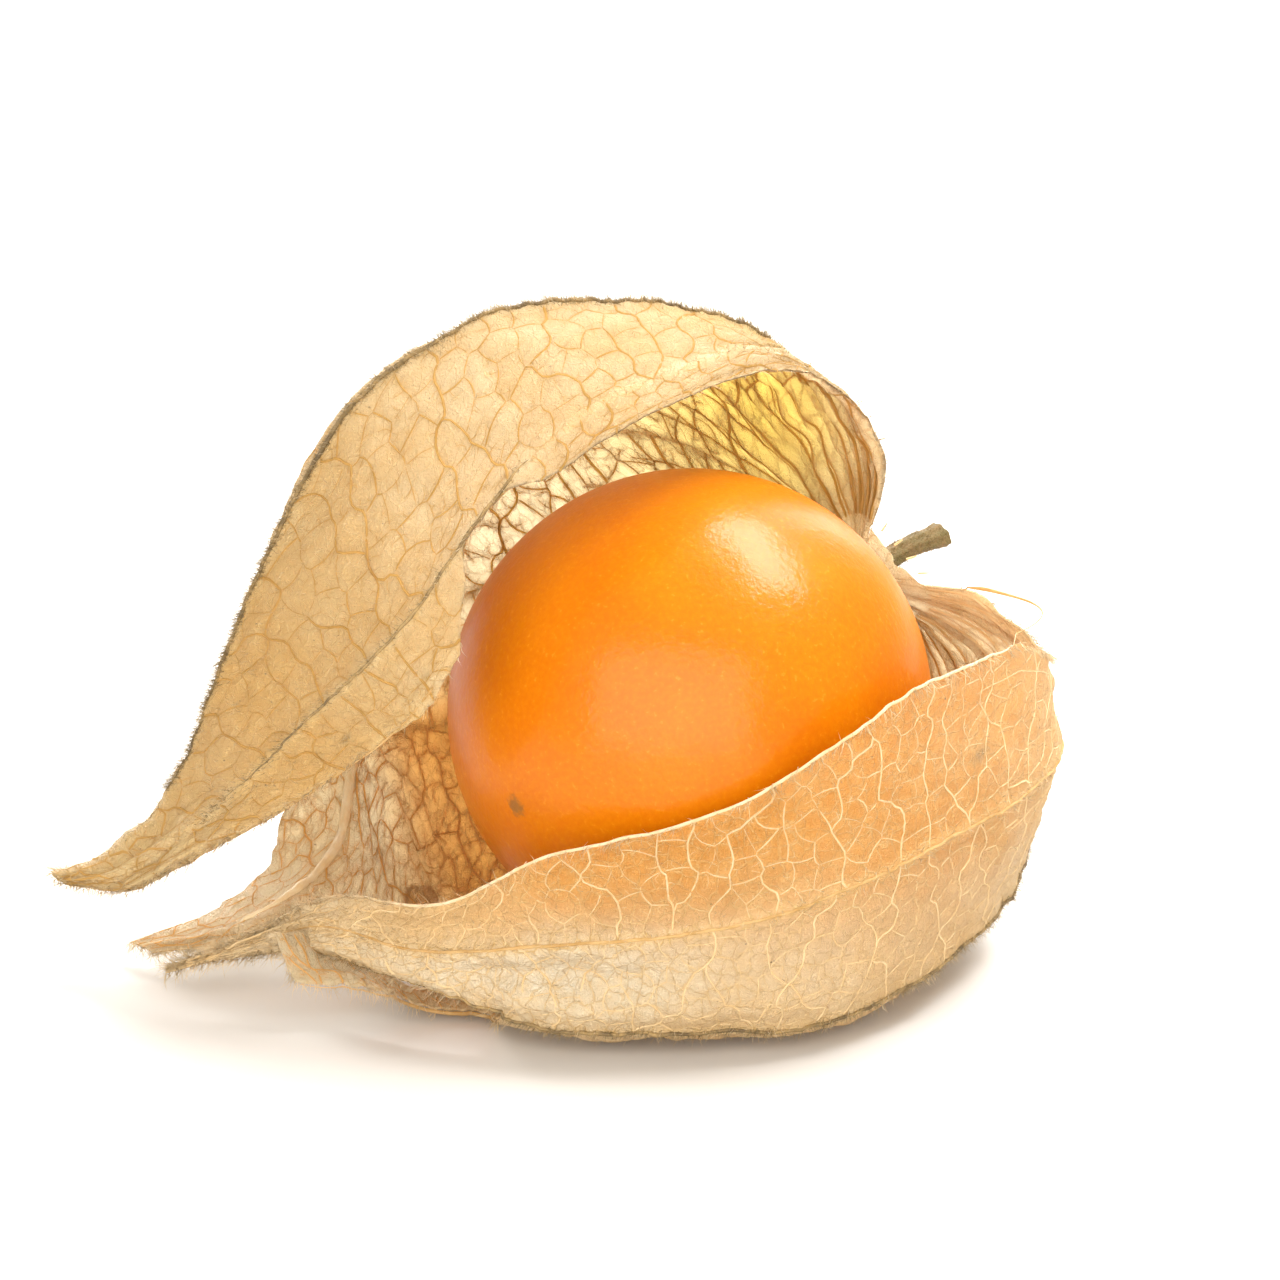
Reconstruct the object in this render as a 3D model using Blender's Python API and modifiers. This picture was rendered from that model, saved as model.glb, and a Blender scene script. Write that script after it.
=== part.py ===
"""Physalis berry lying in its torn papery husk, with the cut stem still on.

Three grown pieces: the berry, the husk (the calyx, one papery piece torn into lobes) and the
stem with the small cushion that the berry sits on. Metres, +Z up. +X runs from the husk's tips
towards the stem. The whole lies on Z = 0, with the origin under the berry's middle.
"""

import math

import bmesh
import bpy
import numpy as np
from mathutils import Matrix, Vector

MM = 0.001

# Driving sizes
BERRY_RADIUS = 9.9 * MM
BERRY_LENGTH_SHARE = 1.01  # the berry is a touch longer than it is wide
HUSK_THICKNESS = 0.6 * MM
TOUCHING_GAP = 0.35 * MM
STEM_RADIUS = 0.48 * MM
STEM_LENGTH = 4.0 * MM  # from the husk to the cut end
STEM_FLARE = 0.18  # how much wider the cut end is
CUSHION_RADIUS = 1.45 * MM  # the receptacle that the berry is fixed to
CUSHION_DEPTH = 0.45 * MM
HUSK_HOLE_RADIUS = 0.95 * MM
SHOULDER_RISE = 2.2 * MM  # how far the husk's shoulders stand out past its hole
RIB_RISE = 0.60 * MM
NET_RISE = 0.34 * MM

# The berry's dimple, where the stem holds it
DIMPLE_DEPTH = 0.25 * MM
DIMPLE_WIDTH = 0.30  # radians from the pole
BERRY_RINGS = 28
BERRY_SIDES = 48

# The berry rests in the husk with its stem end to the right, to the back and a little up.
BERRY_CENTRE = Vector((0.0, 0.0, BERRY_RADIUS + HUSK_THICKNESS + TOUCHING_GAP))
STEM_AXIS = Vector((0.69, 0.65, 0.33)).normalized()
STEM_HEADING = Vector((0.69, 0.75, 0.02)).normalized()  # the way the free stem bends to
AXIS_UP = (Vector((0, 0, 1)) - STEM_AXIS * STEM_AXIS.z).normalized()
AXIS_SIDE = STEM_AXIS.cross(AXIS_UP)
CUSHION_START = BERRY_RADIUS * BERRY_LENGTH_SHARE - DIMPLE_DEPTH + TOUCHING_GAP
HOLE_CENTRE = BERRY_CENTRE + STEM_AXIS * (
    CUSHION_START + CUSHION_DEPTH + TOUCHING_GAP + HUSK_THICKNESS / 2
)

# The husk's ribs in order round the stem: turn about it in degrees, shoulder radius, and then
# the rib's way from over the berry to the tip of its lobe, all in millimetres.
RIBS = {
    "hood_edge": (-4, 4.2, ((4.6, 3.2, 24.2), (-0.5, -3.4, 24.8), (-5.2, -6.4, 22.3), (-9.8, -9.0, 15.4),
                            (-13.0, -9.0, 11.9), (-19.7, -5.0, 6.5), (-25.3, -1.9, 4.1))),
    "hood_front": (-16, 5.0, ((3.9, 4.2, 24.9), (-0.9, -2.2, 25.6), (-6.0, -5.4, 23.4),
                              (-11.2, -8.3, 17.2), (-15.0, -7.3, 13.0), (-20.3, -4.2, 7.2),
                              (-25.9, -1.7, 4.3))),
    "crest": (-34, 5.6, ((2.6, 4.8, 25.3), (-3.2, 2.0, 27.4), (-8.9, -0.5, 27.1), (-14.5, -2.2, 22.6),
                         (-18.0, -2.6, 15.0), (-21.4, -2.0, 7.4), (-26.4, -1.5, 4.6))),
    "hood_back": (-62, 6.2, ((0.3, 9.5, 23.4), (-5.3, 8.3, 24.4), (-10.8, 5.2, 23.0), (-15.6, 2.0, 19.0),
                             (-18.3, -0.5, 13.0), (-21.5, -1.1, 7.0), (-25.9, -1.3, 4.6))),
    "hood_tear": (-88, 6.4, ((-1.2, 12.6, 18.8), (-7.0, 12.0, 19.2), (-12.0, 9.0, 17.8),
                             (-15.9, 5.0, 14.4), (-18.0, 1.6, 10.4), (-21.3, -0.4, 6.3),
                             (-25.3, -1.1, 4.3))),
    "wall_tear": (-112, 6.4, ((-0.3, 14.0, 12.8), (-6.6, 13.2, 12.6), (-11.7, 10.8, 11.2),
                              (-15.2, 7.4, 8.8), (-16.9, 3.8, 5.4), (-18.9, 2.2, 2.3),
                              (-24.2, 0.2, 1.0))),
    "wall_fold": (-136, 6.4, ((1.5, 13.4, 6.8), (-5.0, 12.2, 6.4), (-10.2, 9.4, 7.0), (-13.8, 5.6, 7.6),
                              (-14.7, 1.6, 4.3), (-17.6, -2.7, 3.0), (-22.9, -1.4, 1.1))),
    "floor_back": (-160, 6.2, ((5.5, 10.0, 2.6), (-1.5, 6.5, 0.3), (-7.0, 4.5, 0.6), (-11.0, 1.5, 1.0),
                               (-14.0, -2.0, 1.8), (-17.4, -3.2, 1.9), (-21.3, -3.0, 0.9))),
    "curl_back": (-176, 6.0, ((9.5, 7.0, 1.8), (2.0, 0.5, 0.3), (-4.5, -1.5, 0.3), (-9.0, -3.5, 0.3),
                              (-12.0, -4.8, 0.7), (-14.8, -6.0, 1.3), (-16.9, -7.4, 1.5))),
    "curl_front": (-190, 6.0, ((12.5, 4.5, 2.0), (6.0, -5.0, 0.3), (-1.0, -7.5, 0.3), (-7.2, -7.6, 0.3),
                               (-10.0, -7.6, 0.4), (-12.6, -8.2, 0.5), (-15.6, -8.6, 1.0))),
    "keel": (-212, 6.2, ((14.0, 2.0, 3.6), (8.2, -8.2, 1.7), (1.0, -11.4, 1.2), (-6.5, -11.1, 1.5),
                         (-11.0, -9.2, 2.2), (-15.5, -6.4, 2.6), (-21.4, -5.0, 0.9))),
    "scoop": (-236, 6.0, ((15.0, 0.8, 8.5), (8.8, -8.8, 7.8), (1.5, -11.9, 6.0), (-5.8, -11.5, 5.0),
                          (-10.8, -9.5, 4.0), (-15.4, -6.0, 3.6), (-21.5, -4.9, 1.3))),
    "scoop_rim": (-258, 5.0, ((14.4, 1.7, 14.2), (8.6, -8.2, 14.8), (2.0, -10.6, 10.7),
                              (-5.6, -10.6, 8.6), (-9.9, -9.3, 5.8), (-14.6, -5.7, 4.6),
                              (-20.9, -4.8, 1.5))),
}
# Between which ribs the husk is torn, and from which station on: 0 is the hole, 8 the tips.
TEARS = {"hood_tear": 4.4, "floor_back": 4.8, "curl_front": 5.2, "scoop_rim": 0.3}
TIP_STATION = 8
CELLS_ACROSS = (3, 6, 5, 4, 4, 4, 5, 3, 4, 3, 4, 5, 4)  # grid cells from each rib to the next
ROWS_PER_STATION = 5
NET_ROWS = 4  # a vein crosses every fourth row
NET_COLUMNS = 2  # and runs along every second line
SKEW_SHARE = 0.22  # how far the net's corners wander, as a share of a cell
TIP_NOTCH = 0.12  # how far short of the ribs' points the paper between them ends, in stations
TEAR_WAVE = 0.07  # how far a torn edge waves, as a share of the way to the next rib
SEED = 11


def clear_scene():
    """Removes what the startup file holds."""
    for item in list(bpy.data.objects):
        bpy.data.objects.remove(item, do_unlink=True)


def material(name, colour, roughness):
    """A plain finish for one kind of tissue."""
    made = bpy.data.materials.new(name)
    made.use_nodes = True
    shader = made.node_tree.nodes["Principled BSDF"]
    shader.inputs["Base Color"].default_value = (*colour, 1.0)
    shader.inputs["Roughness"].default_value = roughness
    shader.inputs["Metallic"].default_value = 0.0
    return made


def catmull(p0, p1, p2, p3, share):
    """Point on the smooth curve between p1 and p2."""
    square = share * share
    cube = square * share
    return 0.5 * (2 * p1 + (p2 - p0) * share + (2 * p0 - 5 * p1 + 4 * p2 - p3) * square
                  + (3 * p1 - p0 - 3 * p2 + p3) * cube)


def rib_points(turn, shoulder, way):
    """A rib's stations from the hole to the tip, in metres."""
    round_stem = AXIS_UP * math.cos(math.radians(turn)) + AXIS_SIDE * math.sin(math.radians(turn))
    hole = HOLE_CENTRE + round_stem * HUSK_HOLE_RADIUS
    over = HOLE_CENTRE + round_stem * shoulder * MM + STEM_AXIS * SHOULDER_RISE
    return [np.array(hole), np.array(over)] + [np.array(point) * MM for point in way]


def on_rib(points, station):
    """Point of a rib at a station, which need not be a whole number."""
    index = min(int(station), len(points) - 2)
    before = points[index - 1] if index else 2 * points[0] - points[1]
    after = points[index + 2] if index + 2 < len(points) else 2 * points[-1] - points[-2]
    return catmull(before, points[index], points[index + 1], after, station - index)


class HuskSurface:
    """The husk's middle surface: ribs one way, smooth curves across them the other."""

    def __init__(self):
        self.names = list(RIBS)
        self.ribs = [rib_points(*RIBS[name]) for name in self.names]

    def torn(self, column, station):
        """Whether the husk is open between this rib and the next at a station."""
        return station > TEARS.get(self.names[column % len(self.names)], TIP_STATION)

    def at(self, column, share, station):
        """Point between rib `column` and the next one, `share` of the way across."""
        count = len(self.ribs)
        ends = [on_rib(self.ribs[(column + step) % count], station) for step in (-1, 0, 1, 2)]
        if self.torn(column - 1, station) and not self.torn(column, station):
            ends[0] = 2 * ends[1] - ends[2]
        if self.torn(column + 1, station) and not self.torn(column, station):
            ends[3] = 2 * ends[2] - ends[1]
        return catmull(*ends, share)

    def outward(self, column, share, station):
        """Unit vector out of the husk at a point of it."""
        step = 0.05
        ahead, behind = min(station + step, TIP_STATION - 0.01), max(station - step, 0.0)
        along = self.at(column, share, ahead) - self.at(column, share, behind)
        aside = self.at(column, share + step, station) - self.at(column, share - step, station)
        normal = np.cross(aside, along)
        return normal / np.linalg.norm(normal)

    def edge_place(self, column, station):
        """Column and share at rib `column`, which on a torn edge waves in from the rib."""
        before, after = not self.torn(column - 1, station), not self.torn(column, station)
        wave = TEAR_WAVE * (1 + math.sin(2.9 * station + column) + 0.5 * math.sin(6.3 * station + 2 * column))
        if after and not before:
            return column, wave
        if before and not after:
            return column - 1, 1 - wave
        return column, 0.0


def settled(point):
    """A point of the husk kept clear of the berry and on or above the resting surface."""
    centre = np.array(BERRY_CENTRE)
    away = point - centre
    distance = np.linalg.norm(away)
    least = BERRY_CENTRE.z - HUSK_THICKNESS / 2
    if distance < least:
        point = centre + away * (least / distance)
    point[2] = max(point[2], HUSK_THICKNESS / 2)
    return point


def relief(row, column, cell, cells):
    """How far the ribs and the net of veins stand out at a corner of the husk's grid."""
    if cell == 0:
        return RIB_RISE
    band = row // NET_ROWS
    on_cross = row % NET_ROWS == 0
    on_branch = (cell + band + column) % NET_COLUMNS == 0 and cells > NET_COLUMNS
    return NET_RISE if on_cross or on_branch else 0.0


def corner_place(surface, random, row, column, cell, cells):
    """Where a corner of the husk's grid lies, with its vein's relief."""
    rows = TIP_STATION * ROWS_PER_STATION
    skew = random.uniform(-SKEW_SHARE, SKEW_SHARE, 2)
    station = row / ROWS_PER_STATION
    if cell:
        share = (cell + skew[0]) / cells
        station += skew[1] / ROWS_PER_STATION if 0 < row < rows else 0.0
    else:
        column, share = surface.edge_place(column, station)
    near_tip = max(0.0, station - TIP_STATION + 2) / 2
    station -= TIP_NOTCH * near_tip ** 2 * math.sin(math.pi * cell / cells)
    fade = min(1.0, row / ROWS_PER_STATION) * min(1.0, (rows - row) / ROWS_PER_STATION)
    rise = relief(row, column, cell, cells) * fade
    return settled(surface.at(column, share, station) + surface.outward(column, share, station) * rise)


def husk_sheet():
    """The husk as an open sheet of faces, with ribs and a net of veins raised outwards."""
    surface = HuskSurface()
    random = np.random.default_rng(SEED)
    rows = TIP_STATION * ROWS_PER_STATION
    lines = [(column, cell, cells) for column, cells in enumerate(CELLS_ACROSS) for cell in range(cells)]
    sheet = bmesh.new()
    grid = []
    for row in range(rows + 1):
        places = [corner_place(surface, random, row, *line) for line in lines]
        grid.append([sheet.verts.new(place) for place in places])
    for row in range(rows):
        for line, (column, _cell, _cells) in enumerate(lines):
            if surface.torn(column, (row + 0.5) / ROWS_PER_STATION):
                continue
            beyond = (line + 1) % len(lines)
            sheet.faces.new((grid[row][line], grid[row + 1][line], grid[row + 1][beyond], grid[row][beyond]))
    loose = [corner for corner in sheet.verts if not corner.link_faces]
    bmesh.ops.delete(sheet, geom=loose, context="VERTS")
    bmesh.ops.triangulate(sheet, faces=sheet.faces)
    return sheet


def make_husk(finish):
    """The papery husk: the torn sheet, given its thickness."""
    mesh = bpy.data.meshes.new("husk")
    sheet = husk_sheet()
    sheet.to_mesh(mesh)
    sheet.free()
    husk = bpy.data.objects.new("husk", mesh)
    mesh.materials.append(finish)
    wall = husk.modifiers.new("paper", "SOLIDIFY")
    wall.thickness = HUSK_THICKNESS
    wall.offset = 0.0
    return husk


def frame_along(axis):
    """Turns +Z to an axis."""
    return Vector((0, 0, 1)).rotation_difference(axis).to_matrix().to_4x4()


def make_berry(finish):
    """The berry: a turned skin, dimpled where the stem holds it and closed at its far pole."""
    profile = bmesh.new()
    corners = []
    for ring in range(BERRY_RINGS + 1):
        angle = math.pi * ring / BERRY_RINGS
        radius = BERRY_RADIUS * math.sin(angle) if 0 < ring < BERRY_RINGS else 0.0
        height = BERRY_RADIUS * BERRY_LENGTH_SHARE * math.cos(angle)
        height -= DIMPLE_DEPTH * math.exp(-((angle / DIMPLE_WIDTH) ** 2))
        corners.append(profile.verts.new((radius, 0.0, height)))
    for upper, lower in zip(corners, corners[1:]):
        profile.edges.new((upper, lower))
    mesh = bpy.data.meshes.new("berry")
    profile.to_mesh(mesh)
    profile.free()
    mesh.materials.append(finish)
    berry = bpy.data.objects.new("berry", mesh)
    turned = berry.modifiers.new("turned", "SCREW")
    turned.steps = turned.render_steps = BERRY_SIDES
    turned.use_merge_vertices = True
    turned.merge_threshold = 0.01 * MM
    turned.use_smooth_shade = True
    berry.matrix_world = Matrix.Translation(BERRY_CENTRE) @ frame_along(STEM_AXIS)
    return berry


def stem_way():
    """The stem's places and radii, from the berry's cushion through the husk to the cut end."""
    cushion = (
        (0.0, CUSHION_RADIUS * 0.8),
        (0.4 * CUSHION_DEPTH, CUSHION_RADIUS),
        (CUSHION_DEPTH, CUSHION_RADIUS * 0.85),
        (1.05 * CUSHION_DEPTH, STEM_RADIUS),
    )
    way = [(BERRY_CENTRE + STEM_AXIS * (CUSHION_START + depth), radius) for depth, radius in cushion]
    way.append((HOLE_CENTRE + STEM_AXIS * HUSK_THICKNESS, STEM_RADIUS))
    bends = 8
    for bend in range(1, bends + 1):
        share = bend / bends
        heading = STEM_AXIS.lerp(STEM_HEADING, min(1.0, 1.4 * share)).normalized()
        swell = 1.0 + STEM_FLARE * share ** 6 - 0.06 * math.sin(math.pi * share)
        way.append((way[-1][0] + heading * STEM_LENGTH / bends, STEM_RADIUS * swell))
    return way


def make_stem(finish):
    """The cut stem, bending level from the husk's hole, with the berry's cushion on its end."""
    way = stem_way()
    curve = bpy.data.curves.new("stem", "CURVE")
    curve.dimensions = "3D"
    curve.bevel_depth = 1.0
    curve.bevel_resolution = 4
    curve.use_fill_caps = True
    line = curve.splines.new("POLY")
    line.points.add(len(way) - 1)
    for point, (place, radius) in zip(line.points, way):
        point.co = (*place, 1.0)
        point.radius = radius
    curve.materials.append(finish)
    return bpy.data.objects.new("stem", curve)


def main():
    """Builds the three pieces in one collection."""
    clear_scene()
    collection = bpy.data.collections.new("physalis_berry")
    bpy.context.scene.collection.children.link(collection)
    pieces = (
        make_berry(material("berry_skin", (0.92, 0.36, 0.01), 0.25)),
        make_husk(material("husk_paper", (0.80, 0.60, 0.32), 0.6)),
        make_stem(material("stem_bark", (0.28, 0.24, 0.12), 0.8)),
    )
    for piece in pieces:
        collection.objects.link(piece)


main()
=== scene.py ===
"""Looks of a physalis berry that lies in its torn papery husk, with the cut stem still on.

The husk's paper, its ribs, veins and hairs, the berry's skin and the stem are built here over the
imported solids. Lengths are in millimetres until a mesh is made.
"""
import heapq
import logging
import math
from dataclasses import dataclass, field
from enum import Enum

import bpy
import numpy as np
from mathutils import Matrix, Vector, kdtree


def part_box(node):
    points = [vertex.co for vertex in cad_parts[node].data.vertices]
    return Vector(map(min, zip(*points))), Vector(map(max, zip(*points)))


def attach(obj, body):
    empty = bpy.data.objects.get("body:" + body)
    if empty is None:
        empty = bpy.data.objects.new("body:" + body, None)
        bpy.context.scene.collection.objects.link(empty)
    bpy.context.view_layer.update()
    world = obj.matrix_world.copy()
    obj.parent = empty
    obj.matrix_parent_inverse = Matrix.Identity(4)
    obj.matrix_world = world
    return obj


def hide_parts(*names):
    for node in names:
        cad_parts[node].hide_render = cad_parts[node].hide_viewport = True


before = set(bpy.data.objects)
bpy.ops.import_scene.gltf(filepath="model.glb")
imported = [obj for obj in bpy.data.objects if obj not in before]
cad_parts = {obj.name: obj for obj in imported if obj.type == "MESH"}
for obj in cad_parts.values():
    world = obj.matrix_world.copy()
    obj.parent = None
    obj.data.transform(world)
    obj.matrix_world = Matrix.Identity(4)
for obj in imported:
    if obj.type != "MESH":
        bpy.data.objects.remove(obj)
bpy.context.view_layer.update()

MM = 0.001
BODY = "root"
LOG = logging.getLogger("physalis")

Colour = tuple[float, float, float]
Point = tuple[float, float, float]


def millimetres(place: Vector) -> np.ndarray:
    """A frame position as an array in millimetres.

    Args:
        place: Position in metres.

    Returns:
        The same position in millimetres.
    """
    return np.array(place) / MM


BERRY_LOW, BERRY_HIGH = (millimetres(corner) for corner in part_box("berry"))
BERRY_CENTRE = (BERRY_LOW + BERRY_HIGH) / 2
BERRY_RADIUS = float((BERRY_HIGH - BERRY_LOW)[:2].mean() / 2)
STEM_AXIS = np.array(Vector((0.69, 0.65, 0.33)).normalized())
STEM_HEADING = np.array(Vector((0.69, 0.75, 0.02)).normalized())
AXIS_UP = np.array((0.0, 0.0, 1.0)) - STEM_AXIS * STEM_AXIS[2]
AXIS_UP /= np.linalg.norm(AXIS_UP)
AXIS_SIDE = np.cross(STEM_AXIS, AXIS_UP)
HOLE_CENTRE = BERRY_CENTRE + STEM_AXIS * 11.15
HUSK_THICKNESS = 0.6
BERRY_STRETCH = 0.01
DIMPLE_DEPTH = 0.25


# ---------------------------------------------------------------- shader maths


class Signal:
    """A shader socket that plain arithmetic works on."""

    def __init__(self, sheet: "ShaderSheet", socket: bpy.types.NodeSocket) -> None:
        """Wraps a socket of a sheet."""
        self.sheet = sheet
        self.socket = socket

    def _math(self, operation: str, first: object, second: object) -> "Signal":
        """Adds one Math node."""
        return self.sheet.node("ShaderNodeMath", {"operation": operation}, {0: first, 1: second})

    def __add__(self, other: object) -> "Signal":
        """Sum."""
        return self._math("ADD", self, other)

    def __radd__(self, other: object) -> "Signal":
        """Sum, reflected."""
        return self._math("ADD", other, self)

    def __sub__(self, other: object) -> "Signal":
        """Difference."""
        return self._math("SUBTRACT", self, other)

    def __rsub__(self, other: object) -> "Signal":
        """Difference, reflected."""
        return self._math("SUBTRACT", other, self)

    def __mul__(self, other: object) -> "Signal":
        """Product."""
        return self._math("MULTIPLY", self, other)

    def __rmul__(self, other: object) -> "Signal":
        """Product, reflected."""
        return self._math("MULTIPLY", other, self)

    def __pow__(self, other: object) -> "Signal":
        """Power."""
        return self._math("POWER", self, other)

    def most(self, other: object) -> "Signal":
        """The larger of two values."""
        return self._math("MAXIMUM", self, other)

    def ramp(self, start: float, end: float) -> "Signal":
        """Smooth step from 0 at start to 1 at end, or down if start is the larger.

        Args:
            start: Value that gives 0.
            end: Value that gives 1.

        Returns:
            The stepped value.
        """
        low, high = min(start, end), max(start, end)
        to_low, to_high = (0.0, 1.0) if start <= end else (1.0, 0.0)
        settings = {"interpolation_type": "SMOOTHSTEP"}
        return self.sheet.node("ShaderNodeMapRange", settings,
                               {0: self, 1: low, 2: high, 3: to_low, 4: to_high})


class ShaderSheet:
    """The node tree of one material."""

    def __init__(self, name: str) -> None:
        """Starts an empty material.

        Args:
            name: The material's name.
        """
        self.material = bpy.data.materials.new(name)
        self.material.use_nodes = True
        self.tree = self.material.node_tree
        self.tree.nodes.clear()

    def node(self, kind: str, settings: dict, inputs: dict, output: int | str = 0) -> Signal:
        """Adds a node.

        Args:
            kind: The node's type.
            settings: Properties set before the sockets.
            inputs: Values or signals by socket name or index.
            output: The output to hand back.

        Returns:
            The chosen output.
        """
        made = self.tree.nodes.new(kind)
        for key, value in settings.items():
            setattr(made, key, value)
        for key, value in inputs.items():
            if isinstance(value, Signal):
                self.tree.links.new(value.socket, made.inputs[key])
            elif isinstance(value, tuple) and made.inputs[key].type == "RGBA":
                made.inputs[key].default_value = (*value[:3], 1.0)
            else:
                made.inputs[key].default_value = value
        return Signal(self, made.outputs[output])

    def attribute(self, name: str) -> Signal:
        """A number stored on the piece's corners."""
        return self.node("ShaderNodeAttribute", {"attribute_name": name}, {}, "Fac")

    def object_place(self) -> Signal:
        """Object coordinates, in metres."""
        return self.node("ShaderNodeTexCoord", {}, {}, "Object")

    def noise(self, place: Signal, size: float, detail: float, roughness: float = 0.5) -> Signal:
        """Cloudy noise from 0 to 1.

        Args:
            place: Coordinates to read it at.
            size: Size of its lumps, in the coordinates' unit.
            detail: Octaves.
            roughness: How much the small octaves count.

        Returns:
            The noise's value.
        """
        return self.node("ShaderNodeTexNoise", {},
                         {"Vector": place, "Scale": 1.0 / size, "Detail": detail, "Roughness": roughness})

    def mix(self, share: object, first: object, second: object) -> Signal:
        """Mix of two colours."""
        return self.node("ShaderNodeMix", {"data_type": "RGBA"}, {0: share, 6: first, 7: second}, 2)

    def bump(self, height: Signal, depth: float, strength: float) -> Signal:
        """Normal from a height.

        Args:
            height: Height from 0 to 1.
            depth: How deep a height of 1 is, in metres.
            strength: How much of it shows.

        Returns:
            The bumped normal.
        """
        return self.node("ShaderNodeBump", {}, {"Height": height, "Distance": depth, "Strength": strength})

    def principled(self, inputs: dict) -> Signal:
        """The Principled shader with some of its inputs set."""
        return self.node("ShaderNodeBsdfPrincipled", {}, inputs)

    def blend(self, share: object, first: Signal, second: Signal) -> Signal:
        """Mix of two shaders."""
        return self.node("ShaderNodeMixShader", {}, {0: share, 1: first, 2: second})

    def finish(self, surface: Signal) -> bpy.types.Material:
        """Ends the sheet with its surface shader."""
        end = self.tree.nodes.new("ShaderNodeOutputMaterial")
        self.tree.links.new(surface.socket, end.inputs["Surface"])
        return self.material


# ---------------------------------------------------------------- finishes


@dataclass(frozen=True)
class PaperFinish:
    """Dry, thin husk tissue that lets the light through, finest veins included, with light, sheen and the
    berry's orange bounce painted on in places.
    """

    pale: Colour = (0.94, 0.82, 0.56)
    deep: Colour = (0.91, 0.68, 0.36)
    # Pale cream: the paler tissue at the shoulder, the tips and the loose flap, and painted light and sheen on
    # the wall's glossy fold and the scoop's lower band.
    pale_and_painted_light: Colour = (0.97, 0.90, 0.74)
    # Orange painted on as the berry's bounce light and the shade near it, by the berry's lower half and on the
    # scoop and the wall; low on the hood it is a golden tone.
    amber_and_painted_bounce: Colour = (0.82, 0.41, 0.06)
    green: Colour = (0.66, 0.56, 0.10)
    vein: Colour = (0.74, 0.50, 0.20)
    stain: Colour = (0.20, 0.12, 0.04)
    glow: Colour = (1.0, 0.94, 0.77)
    green_glow: Colour = (0.93, 0.80, 0.38)
    # Orange for the light let through where the berry's bounce light is painted.
    amber_and_painted_bounce_glow: Colour = (1.0, 0.72, 0.36)
    let_through: float = 0.72
    mesh_cell: float = 0.62

    def make(self) -> bpy.types.Material:
        """Builds the paper's material."""
        sheet = ShaderSheet("husk_paper_look")
        place = sheet.object_place()
        mesh = self._mesh(sheet)
        halo = sheet.attribute("vein").ramp(0.30, 0.02)
        rib = sheet.attribute("rib").ramp(0.45, 0.10)
        pale_and_painted_light = sheet.attribute("pale_and_painted_light")
        mottle = sheet.noise(place, 0.0035, 4.0, 0.6)
        grain = sheet.noise(place, 0.00010, 2.0, 0.75).ramp(0.30, 0.70)
        paper = sheet.mix(mottle.ramp(0.32, 0.70), self.pale, self.deep)
        amber_and_painted_bounce = sheet.attribute("amber_and_painted_bounce")
        # Painted orange bounce light of the berry, with a golden tone low on the hood.
        paper = sheet.mix(amber_and_painted_bounce * 0.95, paper, self.amber_and_painted_bounce)
        # Pale tissue, with painted light and sheen on the fold and the scoop's band, mixed in.
        paper = sheet.mix(pale_and_painted_light * 0.8, paper, self.pale_and_painted_light)
        paper = sheet.mix(sheet.attribute("green") * 0.8, paper, self.green)
        fleck = sheet.noise(place, 0.00011, 2.0, 0.7).ramp(0.50, 0.70)
        paper = sheet.mix((mesh * 0.45 + halo * 0.35 + rib * 0.35).most(fleck * 0.5), paper, self.vein)
        speck = sheet.noise(place, 0.00025, 1.0).ramp(0.745, 0.80)
        speck = speck * sheet.noise(place, 0.004, 2.0).ramp(0.40, 0.6)
        scorch = sheet.attribute("scorch") * sheet.noise(place, 0.0004, 2.0).ramp(0.30, 0.55)
        mark = speck.most(scorch)
        paper = sheet.mix(mark * 0.8, paper, self.stain)
        crinkle = sheet.noise(place, 0.0005, 4.0, 0.6)
        height = mesh * 0.4 + grain * 0.45 + crinkle * (0.9 + 2.8 * pale_and_painted_light)
        normal = sheet.bump(height, 0.00014, 0.9)
        rough = 0.46 + 0.2 * mottle - 0.26 * pale_and_painted_light
        body = sheet.principled({"Base Color": paper, "Roughness": rough, "Normal": normal,
                                 "Specular IOR Level": 0.9, "Coat Weight": 0.15 + 0.85 * pale_and_painted_light,
                                 "Coat Roughness": 0.22, "Coat Normal": normal})
        glows = [sheet.node("ShaderNodeBsdfTranslucent", {}, {"Color": colour, "Normal": normal})
                 for colour in (self.glow, self.green_glow, self.amber_and_painted_bounce_glow)]
        glow = sheet.blend(sheet.attribute("green"), glows[0], glows[1])
        # Painted orange bounce light also tints the light let through.
        glow = sheet.blend(amber_and_painted_bounce, glow, glows[2])
        patch = sheet.noise(place, 0.0010, 3.0, 0.6).ramp(0.30, 0.70)
        share = self.let_through * (0.86 + 0.16 * grain + 0.16 * patch)
        for mask, part in ((mesh, 0.26), (halo, 0.16), (rib, 0.35), (mark, 0.7), (fleck, 0.2)):
            share = share * (1.0 - part * mask)
        share = share * (1.0 - sheet.attribute("dense"))
        return sheet.finish(sheet.blend(share, body, glow))

    def _mesh(self, sheet: ShaderSheet) -> Signal:
        """Mask of the finest veins, along the paper's own coordinates."""
        flat = sheet.node("ShaderNodeUVMap", {"uv_map": "paper"}, {})
        sway = sheet.node("ShaderNodeTexNoise", {}, {"Vector": flat, "Scale": 0.9, "Detail": 3.0}, "Color")
        swayed = sheet.node("ShaderNodeVectorMath", {"operation": "MULTIPLY_ADD"},
                            {0: sway, 1: (1.1, 1.1, 0.0), 2: flat})
        gap = sheet.node("ShaderNodeTexVoronoi",
                         {"feature": "DISTANCE_TO_EDGE", "voronoi_dimensions": "2D"},
                         {"Vector": swayed, "Scale": 1.0 / self.mesh_cell, "Randomness": 0.9}, "Distance")
        return gap.ramp(0.085, 0.02)


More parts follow.
